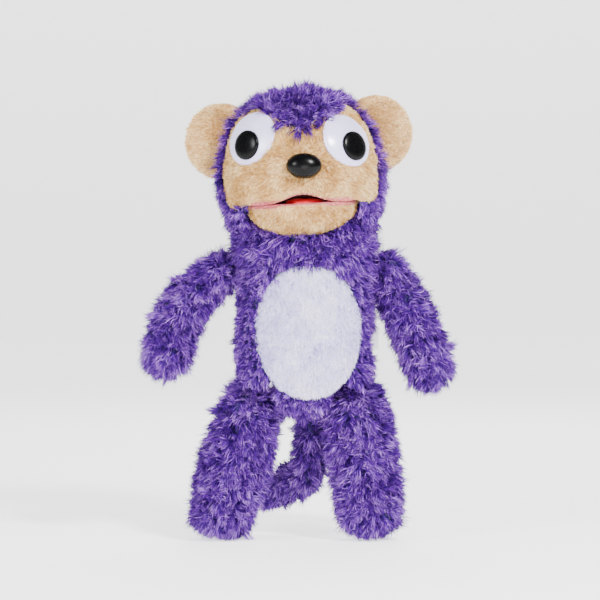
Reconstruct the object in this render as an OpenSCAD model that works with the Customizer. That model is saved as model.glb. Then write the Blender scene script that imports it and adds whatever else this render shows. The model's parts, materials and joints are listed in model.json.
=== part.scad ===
// Moving mouth hand puppet: a long-pile plush monkey with a hand sleeve at the back.
// The puppet faces -Y and +Z is up. Its own left side is +X.
// Heights are laid out from the soles, and place() then moves the origin to the sleeve's mouth.

/* [Skin and sewing] */
// Thickness of a plush panel's cloth
skin = 2.2; // [1.2:0.1:3.4]
// Gap left between a panel and what is stuffed inside it
ease = 0.2; // [0.1:0.05:0.4]
// Gap between two panels that are sewn edge to edge
seam = 0.3; // [0.2:0.05:0.8]

/* [Torso] */
// Half width of the chest
chest_half_w = 57; // [50:1:70]
// How far the belly stands forward of the centre
belly_front = 53; // [46:1:64]
// How far the back stands behind the centre
back_depth = 49; // [44:1:60]
// Height of the torso's lower edge above the soles
torso_bottom = 133; // [128:1:150]
// Height of the torso's upper edge above the soles
torso_top = 240; // [225:1:280]
// Half width of the gusset between the legs
gusset_half_w = 22; // [14:1:23]
// Height of the gusset's lower edge above the soles
gusset_bottom = 104; // [98:1:118]

/* [Belly patch] */
// Half width of the white patch
patch_half_w = 45; // [30:1:50]
// Half height of the white patch
patch_half_h = 58; // [30:1:60]
// Height of the middle of the patch above the torso's lower edge
patch_above_edge = 45; // [40:1:70]
// How far the middle of the patch sits towards the puppet's left
patch_x = 4; // [-10:1:10]

/* [Hand sleeve] */
// Inner radius of the sleeve's cuff
cuff_r = 38; // [32:0.5:40]
// Length of the cuff along the sleeve
cuff_length = 22; // [12:1:30]
// Thickness of the cuff's folded elastic
cuff_wall = 3; // [2:0.5:5]
// Inner radius of the lining that the forearm passes up
lining_r = 40; // [34:0.5:42]
// Thickness of the lining cloth
lining_wall = 1; // [0.6:0.1:2]
// Slope of the sleeve below the horizontal, in degrees
sleeve_slope = 28; // [20:1:34]
// How far the sleeve's mouth stands behind the back of the torso
sleeve_out = 17; // [14:1:30]

/* [Head] */
// Half width of the head at the cheeks
head_half_w = 70; // [60:1:80]
// How far the muzzle stands forward of the centre
muzzle_front = 82; // [74:1:92]
// How far the back of the head stands behind the centre
head_back = 62; // [54:1:72]
// Height of the crown above the mouth
crown_above_mouth = 96; // [84:1:112]
// Sideways lean of the head at rest, in degrees
head_lean = 3; // [0:0.5:6]

/* [Mouth] */
// Height of the mouth above the torso's upper edge
mouth_above_torso = 51; // [49:1:60]
// Half width of the mouth's opening
mouth_half_w = 49; // [38:1:54]
// How far the mouth's fold stands forward of the centre
fold_front = 18; // [14:1:24]
// How high the upper lip arches over the tongue
lip_arch = 8; // [4:0.5:10]
// Half width of the arch in the upper lip
arch_half_w = 27; // [18:1:34]
// Thickness of the red mouth lining
palate_t = 1.2; // [0.8:0.1:2]
// Thickness of the stiffener behind the lining
board_t = 1.6; // [1:0.1:2.4]
// How far the jaw hangs open at rest, in degrees
jaw_rest = 2.5; // [2:0.5:6]

/* [Eyes and nose] */
// Diameter of an eye's white disc
eye_d = 49; // [38:1:52]
// Thickness of the disc at its rim
eye_rim = 2.4; // [1.8:0.1:3.5]
// How far the disc's face domes above its rim
eye_dome = 2.2; // [1:0.1:4]
// Diameter of a pupil
pupil_d = 26; // [18:1:28]
// How far a pupil sits from the middle of its disc
pupil_off = 6.5; // [4:0.5:10]
// Turn of the pupils outwards from straight below the middle
pupil_turn = 12; // [0:1:45]
// Turn of an eye outwards, in degrees
eye_turn = 38; // [25:1:45]
// Tilt of an eye upwards, in degrees
eye_tilt = 20; // [5:1:25]
// Width of the nose
nose_w = 29; // [20:1:34]
// Height of the nose
nose_h = 21; // [16:1:26]
// How far the nose stands out of the face
nose_out = 13; // [8:1:16]
// Radius of the shank of an eye or the nose
shank_r = 3; // [2:0.5:4]
// Radius of the washer that locks a shank
washer_r = 10; // [7:0.5:12]

/* [Ears] */
// Radius of an ear
ear_r = 34; // [26:1:40]
// Thickness of an ear at its middle
ear_t = 11; // [8:0.5:15]

/* [Arms and legs] */
// Radius of an arm where it is gathered at the shoulder
arm_top_r = 14; // [11:0.5:15]
// Radius of an arm at the hand
hand_r = 18.5; // [14:0.5:21]
// Radius of a leg where it is gathered at the hip
leg_top_r = 24; // [20:0.5:25]
// Radius of a leg at the calf
calf_r = 26; // [22:0.5:28]
// Radius of the sole patch
sole_r = 16; // [12:0.5:18]
// Radius of the tail
tail_r = 12; // [9:0.5:13]
// Thickness of the gathered cloth between a limb and the torso
gather_t = 1.4; // [1:0.1:1.8]

/* [Hidden] */

plush = "#6a4fc0";
cream = "#dcc39c";
white_plush = "#f2f0fa";
red_cloth = "#c01030";
white_plastic = "#f4f3fb";
black_plastic = "#101014";
cloth = "#8f86b8";
wadding = "#f0efe8";
board_grey = "#b9b9b4";

around = 32;          // points round a body or head ring
around_limb = 18;     // points round a limb ring
squareness = 2.3;     // 2 is an ellipse, and more is fuller at the corners
big = 400;            // a cutter larger than the puppet
run = 0.3;            // clearance between pieces that move past each other

mouth_z = torso_top + mouth_above_torso;
gusset_r = 42;                        // roundness of the gusset, seen from the side
neck_z = torso_top + 22;              // the height that the wrist bends at
// The hole that the cuff needs in the back sits midway between the torso's edges
sleeve_mouth = [0, back_depth + sleeve_out,
    (torso_bottom + torso_top) / 2 - 1.5 - sleeve_out * tan(sleeve_slope)];
patch_z = torso_bottom + patch_above_edge;
fold_y = -fold_front;

// [height, half width, front, back, centre] of the torso, from its lower edge up
torso_rows = [for (s = [
        [0.00, 0.93, 0.90, 0.94], [0.10, 0.98, 0.97, 0.99], [0.30, 1.00, 1.00, 1.00],
        [0.50, 0.99, 0.99, 1.00], [0.75, 0.98, 0.98, 1.00], [0.90, 0.985, 0.98, 1.00],
        [1.00, 1.00, 0.99, 1.00]
    ]) [torso_bottom + s[0] * (torso_top - torso_bottom), s[1] * chest_half_w, -s[2] * belly_front,
        s[3] * back_depth, 0]];

// The neck carries the torso's upper edge up to the head's lower edge
neck_gap = 0.4;
neck_rise = mouth_z - torso_top - 3;
neck_rows = [for (s = [[0, 1, 0.99, 1], [0.4, 1.03, 1.03, 1.02], [0.7, 1.08, 1.07, 1.04],
        [1, 1.13, 1.1, 1.06]])
    [torso_top + neck_gap + s[0] * neck_rise,
        s[1] * chest_half_w, -s[2] * belly_front, s[3] * back_depth, 0]];

// The upper head, from below the mouth to the crown
head_rows = [for (s = [
        [-0.17, 0.93, 0.84, 0.90], [0.00, 0.985, 0.97, 0.93], [0.15, 1.00, 1.00, 0.96],
        [0.30, 0.985, 0.985, 0.99], [0.45, 0.94, 0.93, 1.00], [0.60, 0.89, 0.88, 0.98],
        [0.74, 0.80, 0.78, 0.89], [0.87, 0.63, 0.60, 0.72], [0.96, 0.41, 0.36, 0.46],
        [1.00, 0.12, 0.10, 0.13]
    ]) [mouth_z + s[0] * crown_above_mouth, s[1] * head_half_w, -s[2] * muzzle_front, s[3] * head_back, 0]];

// The jaw, closed, from below the chin to the lip
jaw_depth = 29;
jaw_rows = [for (s = [[-1.00, 0.16, 0.52, 9], [-0.94, 0.42, 0.69, 4.5], [-0.75, 0.68, 0.84, 1.5],
        [-0.50, 0.87, 0.94, 0.3], [-0.25, 0.97, 0.985, 0], [0, 1.0, 1.0, 0]])
    [mouth_z + s[0] * jaw_depth, s[1] * mouth_half_w, -s[2] * (muzzle_front - 2), -fold_front - s[3],
        -fold_front - 16]];

// [x, y, z, radius] along each limb, from its gathered end. The shoulders and hips are ball shaped, so
// that a limb turns about the middle of its ball without touching the torso.
shoulder_x = chest_half_w + arm_top_r + gather_t + 2 * run;
shoulder_z = torso_top - 9;
hip_x = gusset_half_w + leg_top_r + gather_t + 2 * run;
hip_z = torso_bottom - leg_top_r - gather_t - 2 * run - 2;
tail_root = [7, 24, gusset_bottom - tail_r - gather_t - 2 * run - 0.6];
mid_r = (arm_top_r + hand_r) / 2;
arm_left = [[0, 0, 0, arm_top_r], [13, 0, -25, mid_r], [25, -1, -50, hand_r - 0.5], [35, 0, -74, hand_r],
    [38, 1, -86, hand_r - 1]];
arm_right = [[0, 0, 0, arm_top_r], [-25, 0, -21, mid_r], [-40, -1, -45, hand_r - 0.5],
    [-47, 0, -67, hand_r],
    [-49, 1, -76, hand_r - 1]];
leg_left = [[0, 0, 0, leg_top_r], [3, 0, -30, calf_r], [8, 0, -62, calf_r], [11, -2, 8 - hip_z, calf_r - 3],
    [11.5, -3, -hip_z, calf_r - 8]];
leg_right = [[0, 0, 0, leg_top_r], [-8, 0, -30, calf_r], [-18, 0, -62, calf_r],
    [-26, -2, 8 - hip_z, calf_r - 3],
    [-27.5, -3, -hip_z, calf_r - 8]];
tail = [[0, 0, 0, tail_r], [0, 8, -24, tail_r], [-5, 20, -44, tail_r + 1], [-22, 31, -56, tail_r + 1.5],
    [-48, 36, -60, tail_r + 1], [-70, 36, -54, tail_r - 1]];

// ---- surfaces ----

function unit(v) = v / norm(v);

// A smooth row between the rows of a table, at u from 0 to len - 1
function smooth_row(rows, u) =
    let (last = len(rows) - 1, k = min(floor(u), last - 1), f = u - k,
        b = rows[k], c = rows[k + 1],
        a = k > 0 ? rows[k - 1] : 2 * b - c,
        d = k + 2 <= last ? rows[k + 2] : 2 * c - b)
    (2 * b + (c - a) * f + (2 * a - 5 * b + 4 * c - d) * f * f + (3 * b - a - 3 * c + d) * f * f * f) / 2;

function rounded(v) = sign(v) * pow(abs(v), 2 / squareness);

// One ring of a body: an oval whose front and back differ
function body_ring(row) = [for (i = [0 : around - 1])
    let (a = 360 * i / around, side = rounded(cos(a)), depth = rounded(sin(a)))
    [side * row[1], row[4] + depth * (depth < 0 ? row[4] - row[2] : row[3] - row[4]), row[0]]];

function body_grid(rows, per_row = 2) =
    [for (k = [0 : (len(rows) - 1) * per_row]) body_ring(smooth_row(rows, k / per_row))];

// One ring of a limb, square to its path
function limb_ring(at, along, r) =
    let (side = unit(cross([0, 1, 0], along)), up = cross(along, side))
    [for (i = [0 : around_limb - 1])
        let (a = 360 * i / around_limb) at + r * (cos(a) * side + sin(a) * up)];

function spot(row) = [row[0], row[1], row[2]];

function path_dir(path, u) =
    let (e = 0.05, hi = min(u + e, len(path) - 1), lo = max(u - e, 0))
    unit(spot(smooth_row(path, hi)) - spot(smooth_row(path, lo)));

// A limb with a ball at its start and, unless flat, at its end
function limb_grid(path, flat = false, per_row = 2) =
    let (last = len(path) - 1, d0 = path_dir(path, 0), d1 = path_dir(path, last),
        r0 = path[0][3], r1 = path[last][3], p0 = spot(path[0]), p1 = spot(path[last]))
    concat(
        [for (a = [12, 34, 56, 76]) limb_ring(p0 - d0 * r0 * cos(a), d0, r0 * sin(a))],
        [for (k = [0 : last * per_row]) let (row = smooth_row(path, k / per_row))
            limb_ring(spot(row), path_dir(path, k / per_row), row[3])],
        flat ? [] : [for (a = [76, 56, 34, 12]) limb_ring(p1 + d1 * r1 * cos(a), d1, r1 * sin(a))]
    );

// The grid moved inwards by t, square to its surface
function inset(grid, t) =
    let (m = len(grid) - 1, n = len(grid[0]))
    [for (j = [0 : m]) [for (i = [0 : n - 1])
        let (round_way = grid[j][(i + 1) % n] - grid[j][(i + n - 1) % n],
            long_way = grid[min(j + 1, m)][i] - grid[max(j - 1, 0)][i])
        grid[j][i] - t * unit(cross(round_way, long_way))]];

// A closed solid through the rings of a grid
module solid_of(grid) {
    m = len(grid) - 1;
    n = len(grid[0]);
    polyhedron(
        points = [for (ring = grid) each ring],
        faces = concat(
            [[for (i = [0 : n - 1]) i]],
            [[for (i = [0 : n - 1]) m * n + n - 1 - i]],
            [for (j = [0 : m - 1], i = [0 : n - 1]) [j * n + i, (j + 1) * n + i, j * n + (i + 1) % n]],
            [for (j = [0 : m - 1], i = [0 : n - 1])
                [j * n + (i + 1) % n, (j + 1) * n + i, (j + 1) * n + (i + 1) % n]]
        )
    );
}

// A sheet of thickness t that stands on a grid of points, open at its edges
module sheet_of(grid, t) {
    m = len(grid) - 1;
    n = len(grid[0]);
    count = (m + 1) * n;
    edge = concat([for (i = [0 : n - 1]) i], [for (j = [1 : m]) j * n + n - 1],
        [for (i = [n - 2 : -1 : 0]) m * n + i], [for (j = [m - 1 : -1 : 1]) j * n]);
    polyhedron(
        points = concat([for (row = grid) each row], [for (row = grid) each [for (p = row) p + [0, 0, t]]]),
        faces = concat(
            [for (j = [0 : m - 1], i = [0 : n - 2]) [j * n + i, j * n + i + 1, (j + 1) * n + i]],
            [for (j = [0 : m - 1], i = [0 : n - 2]) [j * n + i + 1, (j + 1) * n + i + 1, (j + 1) * n + i]],
            [for (j = [0 : m - 1], i = [0 : n - 2])
                [count + j * n + i, count + (j + 1) * n + i, count + j * n + i + 1]],
            [for (j = [0 : m - 1], i = [0 : n - 2])
                [count + j * n + i + 1, count + (j + 1) * n + i, count + (j + 1) * n + i + 1]],
            [for (k = [0 : len(edge) - 1])
                let (a = edge[k], b = edge[(k + 1) % len(edge)]) [a, count + a, b]],
            [for (k = [0 : len(edge) - 1])
                let (a = edge[k], b = edge[(k + 1) % len(edge)]) [b, count + a, count + b]]
        )
    );
}

// A round room cut in stuffing, with flat sides that clear a cylinder of radius r
module room(r, h) {
    sides = 36;
    linear_extrude(h) polygon([for (i = [0 : sides - 1])
        let (a = 360 * (i + 0.5) / sides) r / cos(180 / sides) * [cos(a), sin(a)]]);
}

// ---- placing ----

module place() { translate(-sleeve_mouth) children(); }

// The head leans sideways about the neck
module head_pose() {
    place() translate([0, 0, neck_z]) rotate([0, -head_lean, 0]) translate([0, 0, -neck_z]) children();
}

// The jaw hangs a little open about the mouth's fold
module jaw_pose() {
    head_pose() translate([0, fold_y, mouth_z]) rotate([jaw_rest, 0, 0]) translate([0, -fold_y, -mouth_z])
        children();
}

// Along the sleeve, with z pointing out of its mouth
module on_sleeve() {
    translate(sleeve_mouth) rotate([-90 - sleeve_slope, 0, 0]) children();
}

module front_half(gap = 0) { translate([-big / 2, -big - gap / 2, 0]) cube([big, big, 2 * big]); }
module back_half(gap = 0) { translate([-big / 2, gap / 2, 0]) cube([big, big, 2 * big]); }
module above(z) { translate([-big / 2, -big / 2, z]) cube([big, big, big]); }
module below(z) { translate([-big / 2, -big / 2, z - big]) cube([big, big, big]); }

// ---- torso ----

module torso_volume(t) {
    intersection() {
        solid_of(inset(body_grid(torso_rows), t));
        above(torso_bottom + t);
    }
    // the gusset between the legs
    translate([0, 0, gusset_bottom + gusset_r]) intersection() {
        rotate([0, 90, 0]) cylinder(r = gusset_r - t, h = 2 * (gusset_half_w - t), center = true, $fn = 48);
        below(torso_bottom + 8 - gusset_bottom - gusset_r);
    }
}

module arm_way(r) { translate([0, 0, torso_bottom + 8]) cylinder(r = r, h = big, $fn = 64); }

module torso_shell() {
    difference() {
        torso_volume(0);
        torso_volume(skin);
        translate([0, 0, torso_top - 3]) linear_extrude(10)
            ring_outline(inset(body_grid(torso_rows), skin), true);
        on_sleeve() translate([0, 0, -70]) cylinder(r = cuff_r + cuff_wall + run, h = 130, $fn = 64);
    }
}

// The plan of a grid's first or last ring
module ring_outline(grid, last = false) {
    polygon([for (p = grid[last ? len(grid) - 1 : 0]) [p[0], p[1]]]);
}

module patch_outline(grow) {
    polygon([for (i = [0 : 47]) let (a = 360 * i / 48)
        [rounded(cos(a)) * (patch_half_w + grow), rounded(sin(a)) * (patch_half_h + grow)]]);
}

module patch_way(grow) {
    translate([patch_x, -8, patch_z]) rotate([90, 0, 0]) linear_extrude(100) patch_outline(grow);
}

module torso_front_panel() {
    color(plush) place() difference() {
        intersection() { torso_shell(); front_half(seam); }
        patch_way(seam);
    }
}

module belly_patch() {
    color(white_plush) place() intersection() {
        torso_shell();
        patch_way(0);
    }
}

module torso_back_panel() {
    color(plush) place() intersection() { torso_shell(); back_half(seam); }
}

module torso_padding() {
    difference() {
        torso_volume(skin + ease);
        above(torso_top - 2);
        translate([0, 0, torso_bottom + 8]) room(lining_r + lining_wall + ease, big);
        on_sleeve() translate([0, 0, -75]) room(cuff_r + cuff_wall + run, 135);
    }
}

module front_padding() {
    color(wadding) place() intersection() { torso_padding(); front_half(seam); }
}

module back_padding() {
    color(wadding) place() intersection() { torso_padding(); back_half(seam); }
}

module glove_lining() {
    sleeve_in = 1.2;
    color(cloth) place() difference() {
        union() {
            intersection() { arm_way(lining_r + lining_wall); below(torso_top - 1); }
            on_sleeve() translate([0, 0, -62])
                cylinder(r = cuff_r + lining_wall + sleeve_in, h = 62 - cuff_length - seam,
                $fn = 64);
        }
        translate([0, 0, lining_wall]) arm_way(lining_r);
        on_sleeve() {
            translate([0, 0, -63]) cylinder(r = cuff_r + sleeve_in, h = 80, $fn = 64);
            translate([0, 0, -cuff_length - seam]) cylinder(r = cuff_r + cuff_wall + run, h = 80, $fn = 64);
        }
    }
}

module sleeve_cuff() {
    color(cloth) place() on_sleeve() translate([0, 0, -cuff_length]) difference() {
        cylinder(r = cuff_r + cuff_wall, h = cuff_length, $fn = 64);
        translate([0, 0, -1]) cylinder(r = cuff_r, h = cuff_length + 2, $fn = 64);
    }
}

module care_label() {
    label_w = 9;
    label_h = 14;
    color(white_plastic) place() translate([chest_half_w + 0.6, -0.4, patch_z - 18])
        cube([label_w, 0.8, label_h]);
}

// ---- neck ----

module neck_shell() {
    difference() {
        solid_of(body_grid(neck_rows));
        solid_of(inset(body_grid(neck_rows), skin));
        translate([0, 0, torso_top - 3]) linear_extrude(6) ring_outline(inset(body_grid(neck_rows), skin));
    }
}

module head_keep_out() {
    // the upper head's cheeks and back, which the neck's cloth stops short of
    solid_of([for (ring = body_grid(head_rows))
        [for (p = ring) [p[0] * 1.008, p[1] * 1.008, p[2] - seam]]]);
}

module neck_panel() {
    color(plush) difference() {
        place() intersection() { neck_shell(); translate([0, -14, 0]) back_half(seam); }
        head_pose() head_keep_out();
    }
}

module throat_panel() {
    color(plush) difference() {
        place() intersection() { neck_shell(); translate([0, -14, 0]) front_half(seam); }
        head_pose() head_keep_out();
        jaw_pose() solid_of(inset(body_grid(jaw_rows), -0.5));
        jaw_pose() translate([-mouth_half_w, -muzzle_front, mouth_z - 14]) cube([2 * mouth_half_w, 70, 30]);
    }
}

// A half round channel behind the hand, from the sleeve's lining up into the head
module neck_lining() {
    r = lining_r - 3;
    color(cloth) place() intersection() {
        translate([0, 0, torso_top - 4]) difference() {
            cylinder(r = r + lining_wall, h = 24, $fn = 64);
            translate([0, 0, -1]) cylinder(r = r, h = 26, $fn = 64);
        }
        translate([0, 3, 0]) back_half();
    }
}

// ---- head ----

fold_r = 4;              // outer radius of the fold at the back of the mouth
cheek_gap = 1.2;         // between the jaw and the cheeks beside it
face_half_w = 66;
hair_up = 86;            // height of the hairline's corners above the mouth
peak_up = 60;            // height of the hairline's middle peak
ear_x = head_half_w - 2;
ear_up = 58;
ear_turn = 22;
eye_x = 42;
eye_up = 55;
eye_uneven = 3;          // the left eye sits lower and the right eye higher by this much
pupil_uneven = 10;       // the left pupil turns further out and the right one less by this much
eye_back_r = 90;         // the eye's back is hollow, to lie on the round face
nose_up = 30;
nose_x = 3;
nose_tilt = 6;

// How far forward the head's surface stands at a place on its front
function row_at(rows, z) =
    let (k = max([for (i = [0 : len(rows) - 2]) rows[i][0] <= z ? i : 0]))
    smooth_row(rows, k + (z - rows[k][0]) / (rows[k + 1][0] - rows[k][0]));

function front_y(row, x) = row[2] * pow(max(0, 1 - pow(abs(x) / row[1], squareness)), 1 / squareness);

// Half of the hairline, as [across, up]
hairline = [[0.94, -0.02], [1.00, 0.10], [1.02, 0.35], [1.01, 0.62], [0.93, 0.80],
    [0.80, 0.94], [0.68, 1.00], [0.52, 0.97], [0.30, 0.86], [0.12, 0.76]];

module face_way(grow) {
    translate([0, -14, mouth_z]) rotate([90, 0, 0]) linear_extrude(100) offset(delta = grow) polygon(concat(
        [for (p = hairline) [p[0] * face_half_w, p[1] * hair_up]],
        [[nose_x, peak_up]],
        [for (k = [len(hairline) - 1 : -1 : 0]) [-hairline[k][0] * face_half_w, hairline[k][1] * hair_up]]));
}

module jaw_gap() {
    w = mouth_half_w + cheek_gap;
    translate([-w, -big, mouth_z - big]) cube([2 * w, big + fold_y, big]);
    // the neck opens behind it, however thick the cloth is
    translate([-w / 2, fold_y - 1, mouth_z - big])
        cube([w, 3 * skin + 1, big - 0.14 * crown_above_mouth]);
}

// The room under the upper lip's arch
module arch_room() {
    steps = 9;
    translate([0, fold_y, mouth_z]) rotate([90, 0, 0]) linear_extrude(big)
        polygon(concat([[arch_half_w, -1], [-arch_half_w, -1]],
            [for (i = [-steps : steps]) let (x = arch_half_w * i / steps) [x, arch(x, 1)]]));
}

module head_shell() {
    difference() {
        solid_of(body_grid(head_rows));
        solid_of(inset(body_grid(head_rows), skin));
        below(mouth_z - 0.16 * crown_above_mouth);
        jaw_gap();
        arch_room();
        for (side = [-1, 1]) eye_pose(side) eye_seat();
        nose_pose() cylinder(r = shank_r + run, h = 60, center = true, $fn = 24);
    }
}

module head_cap() {
    color(plush) head_pose() difference() {
        head_shell();
        face_way(seam);
    }
}

module face_panel() {
    color(cream) head_pose() intersection() {
        head_shell();
        face_way(0);
    }
}

// Where the hand passes up through the head's filling, as half width, half depth, from and to
hand_way_size = [43, 34, -60, 33];

module hand_way() {
    translate([0, 10, mouth_z + hand_way_size[2]]) linear_extrude(hand_way_size[3] - hand_way_size[2])
        polygon([for (i = [0 : 35]) let (a = 10 * i)
            [hand_way_size[0] * rounded(cos(a)), hand_way_size[1] * rounded(sin(a))]]);
}

pocket_w = 80;
pocket_h = 21;
pocket_back = -4;
pocket_front = -62;
pocket_wall = 1;
upper_stack = lip_arch + palate_t + board_t + 3 * run;    // from the mouth's plane to the finger pocket

module finger_pocket_body(grow) {
    translate([0, pocket_back + grow, mouth_z + upper_stack + pocket_h / 2]) rotate([90, 0, 0])
        linear_extrude(pocket_back - pocket_front + 2 * grow)
            polygon([for (i = [0 : 31]) let (a = 360 * i / 32)
                [(pocket_w / 2 + grow) * rounded(cos(a)), (pocket_h / 2 + grow) * rounded(sin(a))]]);
}

module head_filling(side) {
    w = mouth_half_w + cheek_gap + 0.6;
    color(wadding) head_pose() difference() {
        solid_of(inset(body_grid(head_rows), skin + ease));
        below(mouth_z - 0.15 * crown_above_mouth);
        translate([-w, -big, mouth_z - big]) cube([2 * w, big + fold_y + fold_r + 1, big + upper_stack]);
        hand_way();
        finger_pocket_body(run);
        for (side = [-1, 1]) eye_pose(side) {
            washer_room();
            eye_seat();
        }
        nose_pose() washer_room();
        // the other side's half
        translate([side > 0 ? seam / 2 - big : -seam / 2, -big / 2, 0]) cube([big, big, 2 * big]);
    }
}

module head_filling_left() { head_filling(1); }
module head_filling_right() { head_filling(-1); }

module finger_pocket() {
    color(cloth) head_pose() difference() {
        finger_pocket_body(0);
        translate([0, pocket_wall + 1, 0]) finger_pocket_inside();
    }
}

module finger_pocket_inside() {
    translate([0, pocket_back, mouth_z + upper_stack + pocket_h / 2]) rotate([90, 0, 0])
        linear_extrude(pocket_back - pocket_front + 1)
            polygon([for (i = [0 : 31]) let (a = 360 * i / 32)
                [(pocket_w / 2 - pocket_wall) * rounded(cos(a)),
                    (pocket_h / 2 - pocket_wall) * rounded(sin(a))]]);
}

// ---- mouth ----

// Height of the upper lip's arch at x, and at v from the fold (0) to the lip (1)
function arch(x, v) =
    lip_arch * pow(max(0, cos(90 * min(1, abs(x) / arch_half_w))), 1.5) * v * v * (3 - 2 * v);

mouth_row = row_at(head_rows, mouth_z);
function mouth_front(x, back_off) =
    front_y([0, mouth_row[1] - skin - seam, mouth_row[2] + skin + seam], x) + back_off;

// The jaw's plan, inside its panel
module jaw_plan(t) {
    translate([0, 0, mouth_z - jaw_depth]) linear_extrude(2 * jaw_depth)
        ring_outline(inset(body_grid(jaw_rows), t), true);
}

// A sheet over the mouth's plan, whose edge stands back by e
module mouth_sheet(z, t, e, arched) {
    w = mouth_half_w - e;
    start = fold_y - fold_r - 0.6 - e / 2;
    sheet_of([for (j = [0 : 10]) let (v = j / 10)
        [for (i = [0 : 18]) let (x = w * (1 - i / 9), far = mouth_front(x, e))
            [x, start + (far - start) * v, z + (arched ? arch(x, v) : 0)]]], t);
}

module upper_palate() {
    color(red_cloth) head_pose() mouth_sheet(mouth_z, palate_t, 0, true);
}

module upper_mouth_board() {
    color(board_grey) head_pose() mouth_sheet(mouth_z + palate_t + run, board_t, 4, true);
}

module lower_palate() {
    color(red_cloth) jaw_pose() intersection() {
        mouth_sheet(mouth_z - palate_t, palate_t, 1, false);
        jaw_plan(skin + seam);
    }
}

module lower_mouth_board() {
    color(board_grey) jaw_pose() intersection() {
        mouth_sheet(mouth_z - palate_t - run - board_t, board_t, 4, false);
        jaw_plan(skin + seam + 2);
    }
}

// The red lining turns round the hinge line in a soft C
module mouth_fold() {
    color(red_cloth) head_pose() translate([0, fold_y, mouth_z]) intersection() {
        rotate([0, 90, 0]) difference() {
            cylinder(r = fold_r, h = 2 * mouth_half_w - 6, center = true, $fn = 32);
            cylinder(r = fold_r - palate_t, h = 2 * mouth_half_w, center = true, $fn = 32);
        }
        translate([-big / 2, 0, -big / 2]) cube([big, big, big]);
    }
}

tongue_w = 36;
tongue_l = 32;
tongue_t = 3.4;

module tongue() {
    color(red_cloth) jaw_pose()
    translate([nose_x, fold_y - 24 - tongue_l / 2, mouth_z + run]) intersection() {
        scale([tongue_w / 2, tongue_l / 2, tongue_t]) sphere(r = 1, $fn = 32);
        translate([-big / 2, -big / 2, 0]) cube([big, big, big]);
    }
}

module fold_room() {
    translate([-mouth_half_w - 2, fold_y, mouth_z]) rotate([0, 90, 0])
        room(fold_r + run, 2 * mouth_half_w + 4);
}

lower_stack = palate_t + board_t + 3 * run;
thumb_w = 32;
thumb_h = 18;
thumb_front = -64;

module thumb_pocket_body(grow, back) {
    translate([0, back, mouth_z - lower_stack - thumb_h / 2]) rotate([90, 0, 0])
        linear_extrude(back - thumb_front + grow)
            polygon([for (i = [0 : 23]) let (a = 360 * i / 24)
                [(thumb_w / 2 + grow) * rounded(cos(a)), (thumb_h / 2 + grow) * rounded(sin(a))]]);
}

thumb_back = fold_y - 6;

module jaw_solid(t) {
    difference() {
        solid_of(inset(body_grid(jaw_rows), t));
        above(mouth_z - (t > 0 ? lower_stack : run));
    }
}

module chin_panel() {
    color(cream) jaw_pose() difference() {
        jaw_solid(0);
        solid_of(inset(body_grid(jaw_rows), skin));
        translate([0, 0, mouth_z - 3]) linear_extrude(10)
            ring_outline(inset(body_grid(jaw_rows), skin), true);
        fold_room();
        thumb_pocket_body(run, fold_y + 10);
    }
}

module chin_padding() {
    color(wadding) jaw_pose() difference() {
        jaw_solid(skin + 2 * ease);
        fold_room();
        thumb_pocket_body(run, fold_y + 10);
    }
}

module thumb_pocket() {
    color(cloth) jaw_pose() difference() {
        thumb_pocket_body(0, thumb_back);
        translate([0, pocket_wall, 0]) thumb_pocket_body(-pocket_wall, thumb_back + 2);
    }
}

// ---- eyes and nose ----

eye_front_r = 52;
eye_sink = 1;

module eye_pose(side) {
    z = mouth_z + eye_up - side * eye_uneven;
    translate([side * eye_x, front_y(row_at(head_rows, z), eye_x) + eye_sink, z])
        rotate([0, 0, side * eye_turn]) rotate([90 - eye_tilt, 0, 0]) children();
}

module ball_at(r, top) { translate([0, 0, top - r]) sphere(r = r, $fn = 96); }

// What the eye's disc and shank need cut out of the head's cloth
module eye_seat() {
    difference() {
        cylinder(r = eye_d / 2 + run, h = 20, $fn = 40);
        translate([0, 0, -eye_back_r - run]) sphere(r = eye_back_r, $fn = 60);
    }
    difference() {
        translate([0, 0, -5]) cylinder(r = eye_d / 2 + run, h = 10, $fn = 40);
        translate([0, 0, -eye_back_r - run]) sphere(r = eye_back_r, $fn = 60);
    }
    translate([0, 0, -20]) cylinder(r = shank_r + run, h = 22, $fn = 24);
}

shank_l = 13;

module eye_disc() {
    difference() {
        intersection() {
            translate([0, 0, -8]) cylinder(r = eye_d / 2, h = 30, $fn = 96);
            ball_at(eye_front_r, eye_rim + eye_dome);
        }
        ball_at(eye_back_r, 0);
    }
    translate([0, 0, -shank_l]) cylinder(r = shank_r, h = shank_l + 1, $fn = 32);
}

module pupil_dome(side) {
    difference() {
        rotate([0, 0, side * (pupil_turn + side * pupil_uneven)])
        translate([0, -pupil_off, 0]) intersection() {
            cylinder(r = pupil_d / 2, h = 20, $fn = 64);
            ball_at(pupil_d * 0.8, eye_rim + eye_dome + 2.6);
        }
        ball_at(eye_front_r + 0.05, eye_rim + eye_dome + 0.05);
    }
}

washer_z = -7.5;         // from an eye's middle back to the near face of its washer

module washer() {
    translate([0, 0, washer_z - 2]) difference() {
        cylinder(r = washer_r, h = 2, $fn = 48);
        translate([0, 0, -1]) cylinder(r = shank_r + 0.1, h = 4, $fn = 32);
    }
}

module washer_room() {
    translate([0, 0, washer_z - 3]) cylinder(r = washer_r + run, h = 30, $fn = 32);
    translate([0, 0, -shank_l - 1]) cylinder(r = shank_r + run, h = 20, $fn = 24);
}

module eye_left() { color(white_plastic) head_pose() eye_pose(1) eye_disc(); }
module eye_right() { color(white_plastic) head_pose() eye_pose(-1) eye_disc(); }
module pupil_left() { color(black_plastic) head_pose() eye_pose(1) pupil_dome(1); }
module pupil_right() { color(black_plastic) head_pose() eye_pose(-1) pupil_dome(-1); }
module eye_washer_left() { color(white_plastic) head_pose() eye_pose(1) washer(); }
module eye_washer_right() { color(white_plastic) head_pose() eye_pose(-1) washer(); }

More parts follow.
